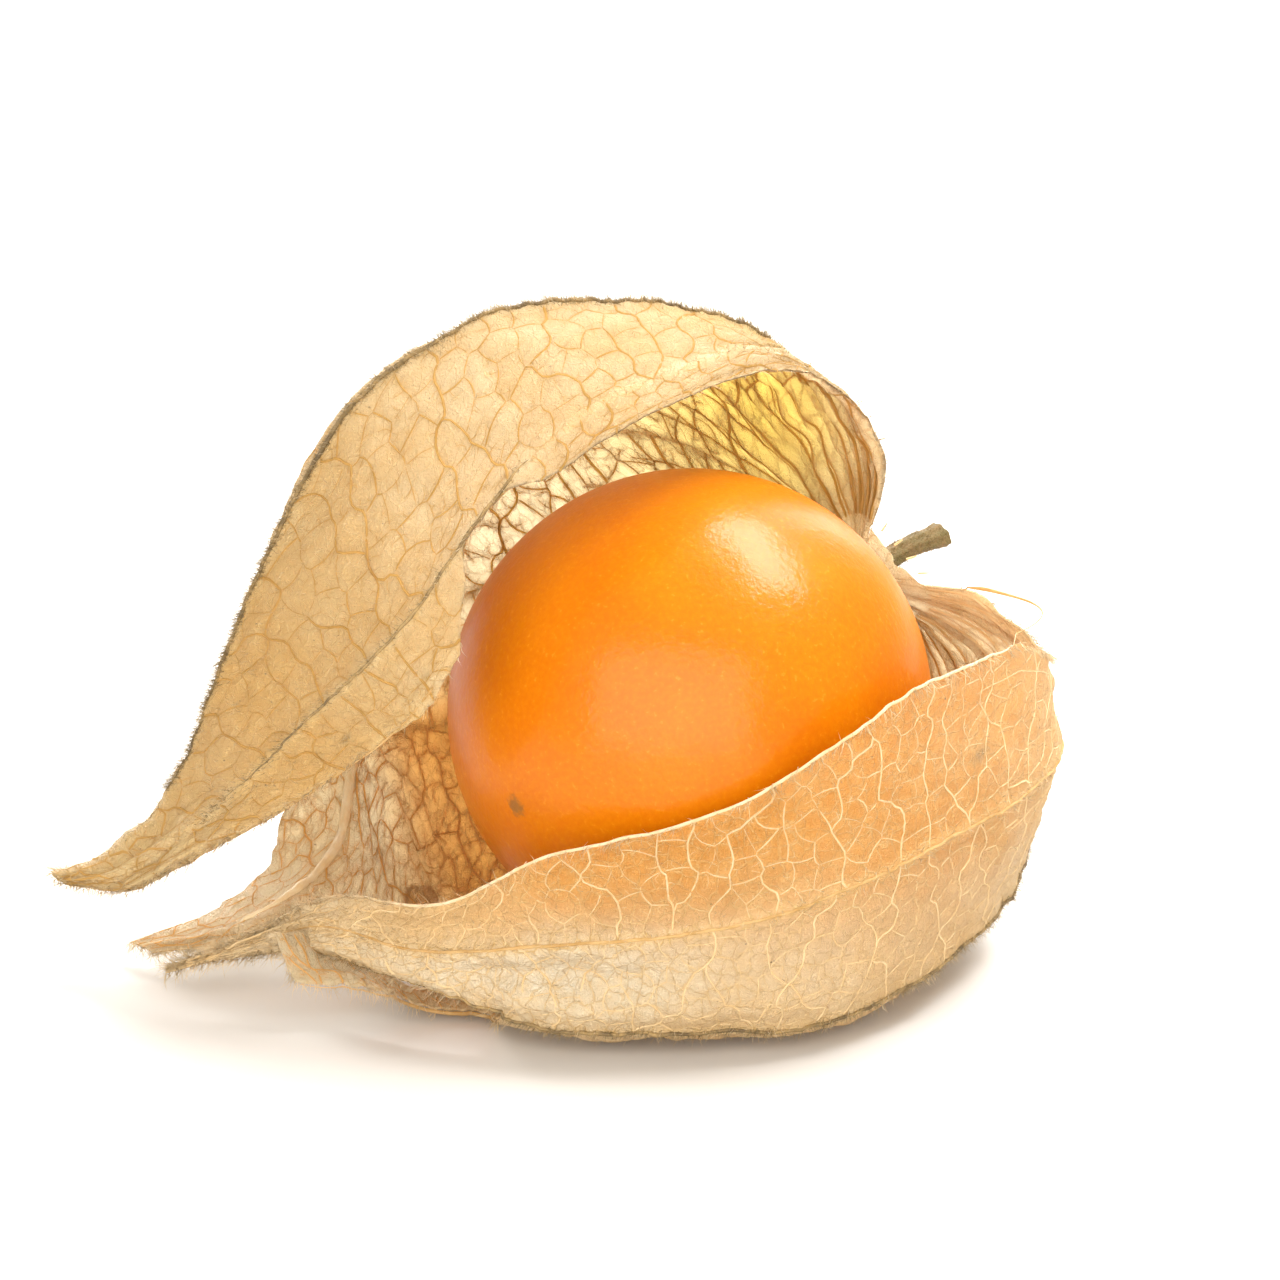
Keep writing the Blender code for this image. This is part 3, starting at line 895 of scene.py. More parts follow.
@dataclass
class PaperSheet:
    """One lobe's paper: a grid over the husk's form, with its relief, torn edges and thickness."""

    lobe: Lobe
    form: HuskForm
    fineness: int = 8
    rows_each: int = 34
    thickness: float = 0.09
    outward_shift: float = 0.03
    rib_rise: float = 0.10
    crest_rise: float = 0.14
    pillow_rise: float = 0.12
    wall_foot: float = 0.15
    fan_end: float = 1.3
    fan_start: float = 0.35
    fan_shares: tuple[float, ...] = (0.22, 0.42, 0.60, 0.80)
    fan_widths: tuple[float, float] = (0.055, 0.022)
    vein_step: float = 0.34
    berry_gap: float = 0.32
    # How deep the hood's tip hangs, at which station, and over how many.
    tip_droop: Point = (0.9, 7.62, 0.42)
    # How far the loose flap lifts: all of it, its free edge, and its rolled rim.
    flap_lift: Point = (0.4, 2.3, 0.5)
    wrinkle_rise: tuple[float, float, float] = (0.18, 0.13, 0.055)
    # Rib, station and radius of each brown spot.
    blemishes: tuple[Point, ...] = ((0.45, 5.95, 0.30), (1.2, 5.3, 0.10), (11.4, 2.6, 0.22),
                                    (10.4, 1.9, 0.16), (6.05, 4.9, 0.15), (3.4, 3.2, 0.2), (2.6, 5.8, 0.16))
    front_tear: Profile = Profile((0.0, 0.0), (0.8, 0.05), (1.6, 0.10), (2.6, 0.06), (3.4, 0.04),
                                  (3.85, 0.20), (4.1, 0.72), (4.25, 0.97), (4.55, 0.97), (4.72, 0.40),
                                  (4.85, -0.12), (5.2, -0.20), (5.5, -0.10), (5.75, 0.0), (8.0, 0.0))
    rim_tear: Profile = Profile((0.0, 0.0), (0.7, 0.05), (1.1, 0.45), (1.5, 0.5), (1.9, 0.30),
                                (2.3, 0.02), (8.0, 0.0))
    # First rib, last rib, first station and how far each tip is drawn together.
    tips: tuple[tuple[int, int, float, float], ...] = ((0, 4, 7.6, 0.35), (5, 7, 7.1, 0.62), (8, 9, 7.1, 0.2),
                                                       (10, 12, 7.1, 0.62))

    def __post_init__(self) -> None:
        """Works out the grid's places and the numbers that the paper's finish reads."""
        self.name, first, last = self.lobe.value
        lines = [(column, cell / (cells * self.fineness))
                 for column in range(first, last + 1)
                 for cells in (self.form.column_cells[column],)
                 for cell in range(cells * self.fineness)]
        lines.append((last, 1.0))
        rows = np.linspace(0.0, TIP_STATION, TIP_STATION * self.rows_each + 1)
        self.column = np.broadcast_to(np.array([line[0] for line in lines]), (len(rows), len(lines)))
        self.across = np.broadcast_to(np.array([line[1] for line in lines]), self.column.shape)
        self.row = np.broadcast_to(rows[:, None], self.column.shape)
        self.random = np.random.default_rng(first + 3)
        self._trim_edges()
        self.middle = self.form.at(self.used_column, self.share, self.station)
        self.aside, self.along, self.out = self.form.directions(self.used_column, self.share, self.station)
        self.present = ~self.form.torn(self.column, (self.row + 0.5 / self.rows_each))[:-1, :-1]
        self.corner = touched(self.present)
        self._draw_tips()
        self._unroll()
        self._grow_veins()
        self._measure()
        self._raise()

    def _trim_edges(self) -> None:
        """Draws torn edges in and rounds the roots of tears."""
        form, column, row = self.form, self.column, self.row
        here = form.torn(column, row)
        start_free = form.torn(column - 1, row) & ~here
        end_free = form.torn(column + 1, row) & ~here
        ragged = form.tear_inset(column, row)
        start = np.where(start_free, ragged, 0.0)
        front = self.front_tear.at(row) + (form.ragged(column, row) + 0.03) * smooth_step(row - 0.3)
        start = np.where(column == 0, front, start)
        rim = np.maximum(0.35 * form.tear_inset(12, row) + self.rim_tear.at(row), 0.0)
        torn_end = form.tear_inset(column + 1, row) * np.where(column == 6, self.wall_foot, 1.0)
        end = np.where(end_free, np.where(column == 11, rim, torn_end), 0.0)
        share = start + self.across * (1.0 - start - end)
        lone = here & (self.across == 0.0) & ~form.torn(column - 1, row)
        inset = np.where(column == 12, rim, ragged)
        self.used_column = np.where(lone, column - 1, column)
        self.share = np.where(lone, 1.0 - inset, share)
        root = form.tear_start[column]
        bow = np.sin(np.pi * self.across)
        near_root = smooth_step(1.0 - (root - row) / 1.2) * (row <= root)
        frayed = 0.22 + form.noise.at(np.stack((self.across * 3.0, column, row * 0.0), axis=-1), 0.4) * 0.12
        station = row - near_root * bow * frayed * np.minimum(root, 1.0)
        self.station = np.clip(station, 0.0, TIP_STATION)

    def _draw_tips(self) -> None:
        """Draws each tip together, lets the hood's tip hang and turn up, and lifts the loose flap."""
        rib_number = self.used_column + self.share
        for first, last, start, pull in self.tips:
            member = self.corner & (rib_number >= first - 0.5) & (rib_number <= last + 0.01)
            if not member.any():
                continue
            amount = pull * smooth_step((self.row - start) / (TIP_STATION - start))
            count = np.maximum(member.sum(axis=1, keepdims=True), 1)
            centre = (self.middle * member[..., None]).sum(axis=1, keepdims=True) / count[..., None]
            drawn = self.middle + (centre - self.middle) * amount[..., None]
            self.middle = np.where(member[..., None], drawn, self.middle)
        if self.lobe is Lobe.HOOD:
            depth, station, reach = self.tip_droop
            self.middle[..., 2] -= depth * np.exp(-((self.row - station) / reach) ** 2)
        lift = smooth_step((self.row - 5.7) / 1.5) * (self.used_column == 8)
        whole, edge, rim = self.flap_lift
        rolled = rim * np.exp(-((self.share - 1.0) / 0.18) ** 2)
        self.middle[..., 2] += lift * (whole + edge * (1.0 - self.share) + rolled)

    def _unroll(self) -> None:
        """Lays the sheet out flat, in millimetres."""
        _name, first, last = self.lobe.value
        rows = self.row[:, 0]
        offset = np.zeros_like(rows)
        arc = np.zeros_like(rows)
        flat = np.zeros((*self.row.shape, 2))
        for column in range(first, last + 1):
            number = np.full(len(rows), column)
            near, far = self.form.on_rib(number, rows), self.form.on_rib(number + 1, rows)
            width = np.maximum(np.linalg.norm(far - near, axis=1), 3.0)
            steps = np.linalg.norm(np.diff((near + far) / 2, axis=0), axis=1)
            steps = steps * (0.38 + 0.62 * smooth_step((rows[1:] - 1.3) / 1.8))
            arc += np.concatenate(((0.0,), np.cumsum(steps))) / (last - first + 1)
            member = self.used_column == column
            across = (offset[:, None] + self.share * width[:, None])
            flat[..., 0] = np.where(member, across, flat[..., 0])
            offset = offset + width
        flat[..., 1] = np.interp(self.station, rows, arc)
        self.flat = flat

    def _grow_veins(self) -> None:
        """Grows the net in each column."""
        _name, first, last = self.lobe.value
        self.veins: list[Vein] = []
        for column in range(first, last + 1):
            start = int(np.argmax(self.column[0] == column))
            end = start + self.form.column_cells[column] * self.fineness
            faces = np.zeros_like(self.present)
            faces[:, start:end] = self.present[:, start:end]
            corner = touched(faces) & (self.row > self.fan_end)
            net = VeinNet(self.flat[:, start:end + 1], corner[:, start:end + 1], self.random,
                          *NET_SIZES[self.lobe])
            self.veins += [Vein(vein.way + (0.0, start), vein.widths) for vein in net.grow()]
            self.veins += [self._fan_vein(start + part * (end - start)) for part in self.fan_shares]

    def _fan_vein(self, line: float) -> Vein:
        """A long vein that fans out from the stem.

        Args:
            line: The grid line that it follows.

        Returns:
            The vein.
        """
        tear = float(self.form.tear_start[self.column[0, int(line)]])
        reach = min(self.random.uniform(1.5, 2.6), tear - 0.1)
        rows = np.arange(self.fan_start, max(reach, 0.5), 0.06) * self.rows_each
        sway = 0.8 * np.sin(rows / self.rows_each * self.random.uniform(2.0, 4.0) + line)
        widths = np.linspace(*self.fan_widths, len(rows))
        return Vein(np.stack((rows, line + sway), axis=1), widths)

    def _measure(self) -> None:
        """Gaps to ribs, torn edges and veins, and where the tints, the painted light, the painted bounce and
        the crinkles lie.
        """
        near = self.form.on_rib(self.used_column, self.station)
        far = self.form.on_rib(self.used_column + 1, self.station)
        placed = self.form.at(self.used_column, self.share, self.station)
        self.rib_gap = np.minimum(np.linalg.norm(placed - near, axis=-1),
                                  np.linalg.norm(placed - far, axis=-1))
        padded = np.pad(self.present, ((1, 1), (1, 1)))
        around = (padded[:-1, :-1], padded[1:, :-1], padded[:-1, 1:], padded[1:, 1:])
        seam = np.zeros(self.row.shape, dtype=bool)
        seam[:, 0] = ~self.form.torn(self.column[:, 0] - 1, self.row[:, 0])
        seam[:, -1] = ~self.form.torn(self.column[:, -1] + 1, self.row[:, -1])
        rim = ~np.logical_and.reduce(around) & np.logical_or.reduce(around)
        rim &= ~(seam & (self.row > 0)) & (self.row > 0.2)
        self.edge_gap = nearest_gap(self.middle[rim], self.middle)
        points = [on_grid(self.middle, vein.way[:, 0], vein.way[:, 1]) for vein in self.veins]
        between = [(point[1:] + point[:-1]) / 2 for point in points]
        self.vein_gap = nearest_gap(np.concatenate(points + between), self.middle)
        number = self.used_column + self.share
        self.green = np.exp(-((self.station - 1.5) / 0.9) ** 2) * np.exp(-((number - 2.9) / 1.9) ** 2)
        self.green += 0.3 * smooth_step((self.station - 4.4) / 1.6) * (number < 2.0)
        fold, painted_light_band, shoulder, scoop, wall = (
            patch.at(number, self.station)
            for patch in (PAINTED_SHEEN_FOLD, PAINTED_LIGHT_BAND, PALE_SHOULDER, PAINTED_BOUNCE_SCOOP, PAINTED_BOUNCE_WALL))
        flap = np.exp(-((number - 8.5) / 0.8) ** 2) * smooth_step((self.station - 5.8) / 1.0)
        tip = 0.6 * smooth_step((self.station - 6.2) / 1.2)
        # Pale mask: real pale tissue at the shoulder, flap and tips, plus painted light and sheen on the fold
        # and the scoop's band.
        self.pale_and_painted_light = np.clip(fold + painted_light_band + 0.7 * flap + tip + shoulder, 0.0, 1.0)
        self.dense = np.where(number > 9.0, 0.2 + 0.3 * self.pale_and_painted_light, -0.12 * self.pale_and_painted_light)
        self.scorch = np.exp(-(self.edge_gap / 0.07) ** 2) * (number < 1.2) * (self.station < 4.8)
        for middle, station, radius in self.blemishes:
            gap = np.hypot((number - middle) * 4.5, (self.station - station) * 4.5)
            self.scorch = np.maximum(self.scorch, np.exp(-(gap / radius) ** 2))
        # Painted orange bounce light from the berry: near its lower half and on the scoop's and wall's
        # patches; a golden tone low on the hood.
        low = smooth_step((BERRY_CENTRE[2] + 1.0 - self.middle[..., 2]) / 5.0)
        gap = np.linalg.norm(self.middle - BERRY_CENTRE, axis=-1) - BERRY_RADIUS
        golden = 0.35 * smooth_step((self.station - 4.5) / 2.0) * (number < 4.0)
        glow = np.exp(-(gap / 4.0) ** 2) * low + (scoop + wall) + golden
        self.amber_and_painted_bounce = np.clip(glow, 0.0, 1.0) * (1.0 - self.pale_and_painted_light)

    def _raise(self) -> None:
        """Moves the middle surface out by its relief, clear of the berry and the floor."""
        noise = LatticeNoise(7)
        crumple = 1.0 + 0.9 * self.pale_and_painted_light
        number = self.used_column + self.share
        rise = self.outward_shift + self.rib_rise * np.exp(-(self.rib_gap / 0.35) ** 2)
        rise += self.crest_rise * np.exp(-(self.rib_gap / 0.6) ** 2) * (np.abs(number - 2.0) < 0.5)
        rise += self.pillow_rise * crumple * (1.0 - np.exp(-(self.vein_gap / 0.30) ** 2))
        for size, height in zip((4.2, 1.7, 0.7), self.wrinkle_rise):
            rise += crumple * height * noise.at(self.middle + size, size)
        pleats = np.sin(2 * np.pi * 3 * self.share + 2.0 * noise.at(self.middle, 2.0))
        creases = noise.at(np.stack((number * 3.2, self.station * 0.8, 0 * number), axis=-1), 1.0)
        rise += (0.12 + 0.42 * self.pale_and_painted_light) * creases * smooth_step((self.station - 1.5) / 1.5)
        rise += SHOULDER_LUMPS.at(number, self.station) * noise.at(self.middle + 3.0, 1.3)
        depth = 0.20 if self.lobe is Lobe.HOOD else 0.10
        rise += depth * pleats * np.exp(-((self.station - 1.1) / 0.8) ** 2)
        rise *= smooth_step(self.row / 0.6) * 0.9 + 0.1
        rise *= 0.25 + 0.75 * smooth_step((TIP_STATION - self.row) / 1.0)
        self.middle = self.middle + self.out * rise[..., None]
        away = self.middle - BERRY_CENTRE
        distance = np.linalg.norm(away, axis=-1, keepdims=True)
        least = BERRY_RADIUS + self.berry_gap
        self.middle = np.where(distance < least, BERRY_CENTRE + away / distance * least, self.middle)
        self.middle[..., 2] = np.maximum(self.middle[..., 2], self.thickness / 2 + 0.06)

    def build(self) -> bpy.types.Object:
        """Makes the lobe's closed shell.

        Returns:
            The finished object.
        """
        rows, lines = self.middle.shape[:2]
        half = self.out * (self.thickness / 2)
        number = np.arange(rows * lines).reshape(rows, lines)
        here = self.present
        inner = np.stack((number[:-1, :-1][here], number[1:, :-1][here],
                          number[1:, 1:][here], number[:-1, 1:][here]), axis=1)
        outer = inner[:, (0, 3, 2, 1)]
        inner = inner + rows * lines
        walls = self._walls(outer, rows * lines)
        faces = np.concatenate((outer, inner, walls))
        places = np.concatenate(((self.middle + half).reshape(-1, 3), (self.middle - half).reshape(-1, 3)))
        used, compact = np.unique(faces, return_inverse=True)
        compact = compact.reshape(faces.shape)
        mesh = mesh_from(self.name, places[used] * MM, compact)
        flat = used % (rows * lines)
        tints = {"rib": self.rib_gap, "vein": self.vein_gap, "green": self.green, "pale_and_painted_light": self.pale_and_painted_light,
                 "amber_and_painted_bounce": self.amber_and_painted_bounce, "scorch": self.scorch, "dense": self.dense}
        for name, values in tints.items():
            layer = mesh.attributes.new(name, "FLOAT", "POINT")
            layer.data.foreach_set("value", values.reshape(-1)[flat].astype(np.float32))
        paper = mesh.uv_layers.new(name="paper")
        uv = self.flat.reshape(-1, 2)[flat][compact.reshape(-1)]
        paper.data.foreach_set("uv", uv.astype(np.float32).reshape(-1))
        piece = add_object(self.name, mesh)
        smooth_by_angle(piece, 50.0)
        return piece

    def build_veins(self) -> bpy.types.Object:
        """Makes the lobe's veins, which stand a little proud of both sides of the paper.

        Returns:
            The finished object.
        """
        places, faces, count = [], [], 0
        for vein in self.veins:
            tube, skin = self._vein_tube(vein)
            places.append(tube)
            faces.append(skin + count)
            count += len(tube)
        mesh = mesh_from(self.name + "_veins", np.concatenate(places) * MM, np.concatenate(faces))
        piece = add_object(self.name + "_veins", mesh)
        smooth_by_angle(piece, 60.0)
        return piece

    def _vein_tube(self, vein: Vein) -> tuple[np.ndarray, np.ndarray]:
        """A six-sided tube along one vein, drawn in a little and capped at both ends.

        Args:
            vein: The vein.

        Returns:
            The tube's places and triangles.
        """
        rough = on_grid(self.middle, vein.way[:, 0], vein.way[:, 1])
        run = np.concatenate(((0.0,), np.cumsum(np.linalg.norm(np.diff(rough, axis=0), axis=1))))
        steps = max(2, int(run[-1] / self.vein_step) + 1)
        stops = np.linspace(0.0, run[-1], steps + 1)
        rows, lines = (np.interp(stops, run, vein.way[:, axis]) for axis in (0, 1))
        width = np.interp(stops, run, vein.widths)[:, None]
        centre = on_grid(self.middle, rows, lines)
        out = on_grid(self.out, rows, lines)
        along = np.gradient(centre, axis=0)
        side = np.cross(along, out)
        side /= np.maximum(np.linalg.norm(side, axis=1, keepdims=True), 1e-9)
        half = self.thickness / 2
        top, brow = half + 0.75 * width, half + 0.1 * width
        ring = np.stack((centre + out * top, centre + side * width + out * brow,
                         centre + side * width - out * brow, centre - out * top,
                         centre - side * width - out * brow, centre - side * width + out * brow), axis=1)
        for end in (0, -1):
            ring[end] = centre[end] + (ring[end] - centre[end]) * 0.8
        ring[..., 2] = np.maximum(ring[..., 2], 0.01)
        number = np.arange(ring.shape[0] * 6).reshape(-1, 6)
        turned = np.roll(number, -1, axis=1)
        first = np.stack((number[:-1], turned[1:], number[1:]), axis=-1).reshape(-1, 3)
        second = np.stack((number[:-1], turned[:-1], turned[1:]), axis=-1).reshape(-1, 3)
        fan = np.array([(0, step + 1, step) for step in range(1, 5)])
        caps = np.concatenate((fan, fan[:, ::-1] + number[-1, 0]))
        return ring.reshape(-1, 3), np.concatenate((first, second, caps))

    @staticmethod
    def _walls(outer: np.ndarray, offset: int) -> np.ndarray:
        """Faces that close the shell round its rim.

        Args:
            outer: The outer side's faces.
            offset: How much higher the inner side's numbers are.

        Returns:
            The rim's faces.
        """
        edges = np.concatenate([outer[:, (side, (side + 1) % 4)] for side in range(4)])
        ordered = np.sort(edges, axis=1)
        _, first, count = np.unique(ordered, axis=0, return_index=True, return_counts=True)
        free = edges[first[count == 1]]
        return np.stack((free[:, 1], free[:, 0], free[:, 0] + offset, free[:, 1] + offset), axis=1)


def nearest_gap(points: np.ndarray, places: np.ndarray) -> np.ndarray:
    """Distance from each place to the nearest of some points.

    Args:
        points: The points, in rows.
        places: The places, last axis of length 3.

    Returns:
        The distances, in the places' layout.
    """
    tree = kdtree.KDTree(len(points))
    for index, point in enumerate(points):
        tree.insert(point, index)
    tree.balance()
    return np.array([tree.find(place)[2] for place in places.reshape(-1, 3)]).reshape(places.shape[:-1])


# ---------------------------------------------------------------- mesh helpers


def mesh_from(name: str, places: np.ndarray, faces: np.ndarray) -> bpy.types.Mesh:
    """A mesh from places in metres and faces with the same number of corners.

    Args:
        name: The mesh's name.
        places: Corner positions.
        faces: Corner numbers of each face.

    Returns:
        The mesh.
    """
    mesh = bpy.data.meshes.new(name)
    mesh.vertices.add(len(places))
    mesh.vertices.foreach_set("co", places.astype(np.float32).reshape(-1))
    mesh.loops.add(faces.size)
    mesh.loops.foreach_set("vertex_index", faces.astype(np.int32).reshape(-1))
    mesh.polygons.add(len(faces))
    mesh.polygons.foreach_set("loop_start", np.arange(0, faces.size, faces.shape[1], dtype=np.int32))
    mesh.update(calc_edges=True)
    mesh.validate()
    return mesh


def corner_places(piece: bpy.types.Object) -> np.ndarray:
    """Where a piece's corners are, in millimetres."""
    return np.array([corner.co[:] for corner in piece.data.vertices]) / MM


def move_corners(piece: bpy.types.Object, places: np.ndarray) -> None:
    """Puts a piece's corners at places in millimetres."""
    piece.data.vertices.foreach_set("co", (places * MM).astype(np.float32).reshape(-1))
    piece.data.update()


def apply_turn(piece: bpy.types.Object, name: str) -> None:
    """Names a new piece and takes its place and turn into its mesh."""
    piece.name = piece.data.name = name
    bpy.ops.object.transform_apply(location=True, rotation=True, scale=True)


def add_object(name: str, mesh: bpy.types.Mesh) -> bpy.types.Object:
    """Puts a mesh in the scene."""
    piece = bpy.data.objects.new(name, mesh)
    bpy.context.scene.collection.objects.link(piece)
    return piece


def only(piece: bpy.types.Object) -> None:
    """Selects one object and makes it active."""
    bpy.ops.object.select_all(action="DESELECT")
    piece.select_set(True)
    bpy.context.view_layer.objects.active = piece


def smooth_by_angle(piece: bpy.types.Object, degrees: float) -> None:
    """Shades a piece smooth apart from its sharp edges."""
    only(piece)
    bpy.ops.object.shade_smooth_by_angle(angle=math.radians(degrees))


def dress(piece: bpy.types.Object, look: bpy.types.Material, slot: str, *nodes: str) -> None:
    """Gives a piece its finish and its place in the frame.

    Args:
        piece: The finished piece.
        look: Its material.
        slot: Not used.
        nodes: CAD nodes that it stands for.
    """
    piece.data.materials.clear()
    piece.data.materials.append(look)
    if nodes:
        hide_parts(*nodes)
    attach(piece, BODY)
    LOG.info("%s: %d faces", piece.name, len(piece.data.polygons))


# ---------------------------------------------------------------- sub-assemblies


class RibTone(Enum):
    """How dark a rib's tissue is."""

    DARK = "dark"
    STRAW = "straw"
    PALE = "pale"


@dataclass(frozen=True)
class RibStyle:
    """One cord: its rib, tone and radius, the stations that it runs between, and how deep it sinks."""

    rib: str
    tone: RibTone
    radius: float
    start: float = 0.0
    end: float = 8.0
    sink: float = 0.25


RIB_STYLES: dict[str, RibStyle] = {
    "torn_line_cord": RibStyle("hood_edge", RibTone.DARK, 0.032, 1.2, 4.1, 0.9),
    "hood_edge_cord": RibStyle("hood_edge", RibTone.STRAW, 0.05, 4.75, 7.2),
    "hood_front_cord": RibStyle("hood_front", RibTone.DARK, 0.07, 4.0, 7.4),
    "crest_root_cord": RibStyle("crest", RibTone.STRAW, 0.07, 0.0, 1.8),
    "crest_cord": RibStyle("crest", RibTone.DARK, 0.095, 1.7, 7.7),
    "hood_back_cord": RibStyle("hood_back", RibTone.STRAW, 0.10),
    "hood_tear_cord": RibStyle("hood_tear", RibTone.STRAW, 0.08),
    "wall_tear_cord": RibStyle("wall_tear", RibTone.STRAW, 0.08),
    "wall_fold_cord": RibStyle("wall_fold", RibTone.STRAW, 0.08, 0.0, 4.7),
    # Pale tissue along the wall's glossy fold; its pale colour also paints the fold's sheen.
    "wall_ridge_cord": RibStyle("wall_fold", RibTone.PALE, 0.25, 4.5, 8.0, 1.3),
    "floor_back_cord": RibStyle("floor_back", RibTone.STRAW, 0.10),
    "curl_back_cord": RibStyle("curl_back", RibTone.PALE, 0.10, sink=1.0),
    "curl_front_cord": RibStyle("curl_front", RibTone.STRAW, 0.08),
    "keel_cord": RibStyle("keel", RibTone.DARK, 0.085, 0.0, 7.0),
    "scoop_cord": RibStyle("scoop", RibTone.STRAW, 0.065),
    "rim_thread_cord": RibStyle("scoop_rim", RibTone.STRAW, 0.10, 0.6, 2.3),
    "scoop_rim_cord": RibStyle("scoop_rim", RibTone.PALE, 0.065, 2.25, 8.0),
}


# Light and dark colour, the colour let through, how much comes through, and for the pale ribs roughness.
VEIN_FINISHES: dict[Lobe, RibFinish] = {
    Lobe.HOOD: RibFinish("hood_vein_look", (0.58, 0.37, 0.13), (0.42, 0.26, 0.08), (0.93, 0.76, 0.42), 0.60),
    Lobe.WALL: RibFinish("wall_vein_look", (0.72, 0.46, 0.18), (0.56, 0.34, 0.11), (0.98, 0.76, 0.42), 0.60),
    # Pale straw veins, made paler still to paint the light that the raised veins catch.
    Lobe.SCOOP: RibFinish("scoop_vein_painted_light_look", (0.94, 0.78, 0.50), (0.86, 0.64, 0.34),
                          (0.98, 0.86, 0.62), 0.45),
}
RIB_FINISHES: dict[RibTone, RibFinish] = {
    RibTone.DARK: RibFinish("rib_dark_look", (0.40, 0.27, 0.11), (0.13, 0.09, 0.04),
                            (0.45, 0.30, 0.12), 0.1),
    RibTone.STRAW: RibFinish("rib_straw_look", (0.78, 0.56, 0.27), (0.55, 0.34, 0.12),
                             (0.90, 0.72, 0.42), 0.45),
    RibTone.PALE: RibFinish("rib_pale_look", (0.95, 0.87, 0.66), (0.86, 0.70, 0.42),
                            (1.0, 0.92, 0.74), 0.5, 0.3),
}


@dataclass
class Husk:
    """The papery husk: three lobes of paper with their veins, and the ribs that carry them."""

    form: HuskForm = field(default_factory=HuskForm)

    def __post_init__(self) -> None:
        """Works out the lobes."""
        self.sheets = {lobe: PaperSheet(lobe, self.form) for lobe in Lobe}

    def build(self) -> None:
        """Builds and dresses the lobes, their veins and the ribs."""
        paper = PaperFinish().make()
        for lobe, sheet in self.sheets.items():
            dress(sheet.build(), paper, "husk_paper", "husk")
            dress(sheet.build_veins(), VEIN_FINISHES[lobe].make(), "husk_paper")
        self._build_ribs()

    def rib_line(self, rib: int) -> tuple[np.ndarray, np.ndarray, np.ndarray]:
        """A rib's way over the raised paper.

        Args:
            rib: The rib's number.

        Returns:
            Its places, its outward directions and its stations.
        """
        lobe = next(lobe for lobe in Lobe if lobe.value[1] <= rib <= lobe.value[2])
        sheet = self.sheets[lobe]
        line = int(np.argmax((sheet.column[0] == rib) & (sheet.across[0] == 0.0)))
        places, out = sheet.middle[:, line].copy(), sheet.out[:, line]
        rows = sheet.row[:, line]
        if rib in (0, 12):
            number = np.full(len(rows), rib)
            bare = self.form.on_rib(number, rows)
            free = (sheet.share[:, line] < -0.02) if rib == 0 else ((rows > 0.7) & (rows < 2.3))
            places[free] = bare[free]
        return places, out, rows

    def _build_ribs(self) -> None:
        """Builds each rib as a slim cord half sunk in the paper."""
        looks = {tone: finish.make() for tone, finish in RIB_FINISHES.items()}
        for name, style in RIB_STYLES.items():
            places, out, stations = self.rib_line(self.form.names.index(style.rib))
            run = (stations >= style.start) & (stations <= style.end)
            cord = RibCord(name, places[run], out[run], stations[run], style.radius, style.sink)
            dress(cord.build(), looks[style.tone], "husk_paper")


@dataclass
class RibCord:
    """A slim knobbly cord along a rib."""

    name: str
    places: np.ndarray
    out: np.ndarray
    stations: np.ndarray
    radius: float
    sink: float
    sides: int = 8

    def build(self) -> bpy.types.Object:
        """Makes the cord as a closed tube with pointed ends."""
        along = np.gradient(self.places, axis=0)
        along /= np.linalg.norm(along, axis=1, keepdims=True)
        out = self.out - along * np.sum(self.out * along, axis=1, keepdims=True)
        out /= np.linalg.norm(out, axis=1, keepdims=True)
        side = np.cross(along, out)
        taper = smooth_step((self.stations - self.stations[0]) / 0.3 + 0.15)
        taper = taper * (0.2 + 0.8 * smooth_step((self.stations[-1] - self.stations) / 2.2))
        knobs = 1.0 + 0.16 * LatticeNoise(3).at(self.places, 0.7)
        radius = np.maximum(self.radius * taper * knobs, 0.015)
        centre = self.places + out * (radius * (1.0 - self.sink))[:, None]
        turns = np.linspace(0.0, 2.0 * np.pi, self.sides, endpoint=False)
        ring = (np.cos(turns)[None, :, None] * side[:, None] + np.sin(turns)[None, :, None] * out[:, None])
        places = centre[:, None] + ring * radius[:, None, None]
        places[..., 2] = np.maximum(places[..., 2], 0.02)
        count = len(places)
        number = np.arange(count * self.sides).reshape(count, self.sides)
        turned = np.roll(number, -1, axis=1)
        faces = np.stack((number[:-1], number[1:], turned[1:], turned[:-1]), axis=-1).reshape(-1, 4)
        mesh = mesh_from(self.name, places.reshape(-1, 3) * MM, faces)
        piece = add_object(self.name, mesh)
        only(piece)
        bpy.ops.object.mode_set(mode="EDIT")
        bpy.ops.mesh.select_all(action="DESELECT")
        bpy.ops.mesh.select_mode(type="EDGE")
        bpy.ops.mesh.select_non_manifold(extend=False)
        bpy.ops.mesh.edge_face_add()
        bpy.ops.mesh.select_all(action="SELECT")
        bpy.ops.mesh.normals_make_consistent(inside=False)
        bpy.ops.object.mode_set(mode="OBJECT")
        bpy.ops.object.shade_smooth()
        return piece


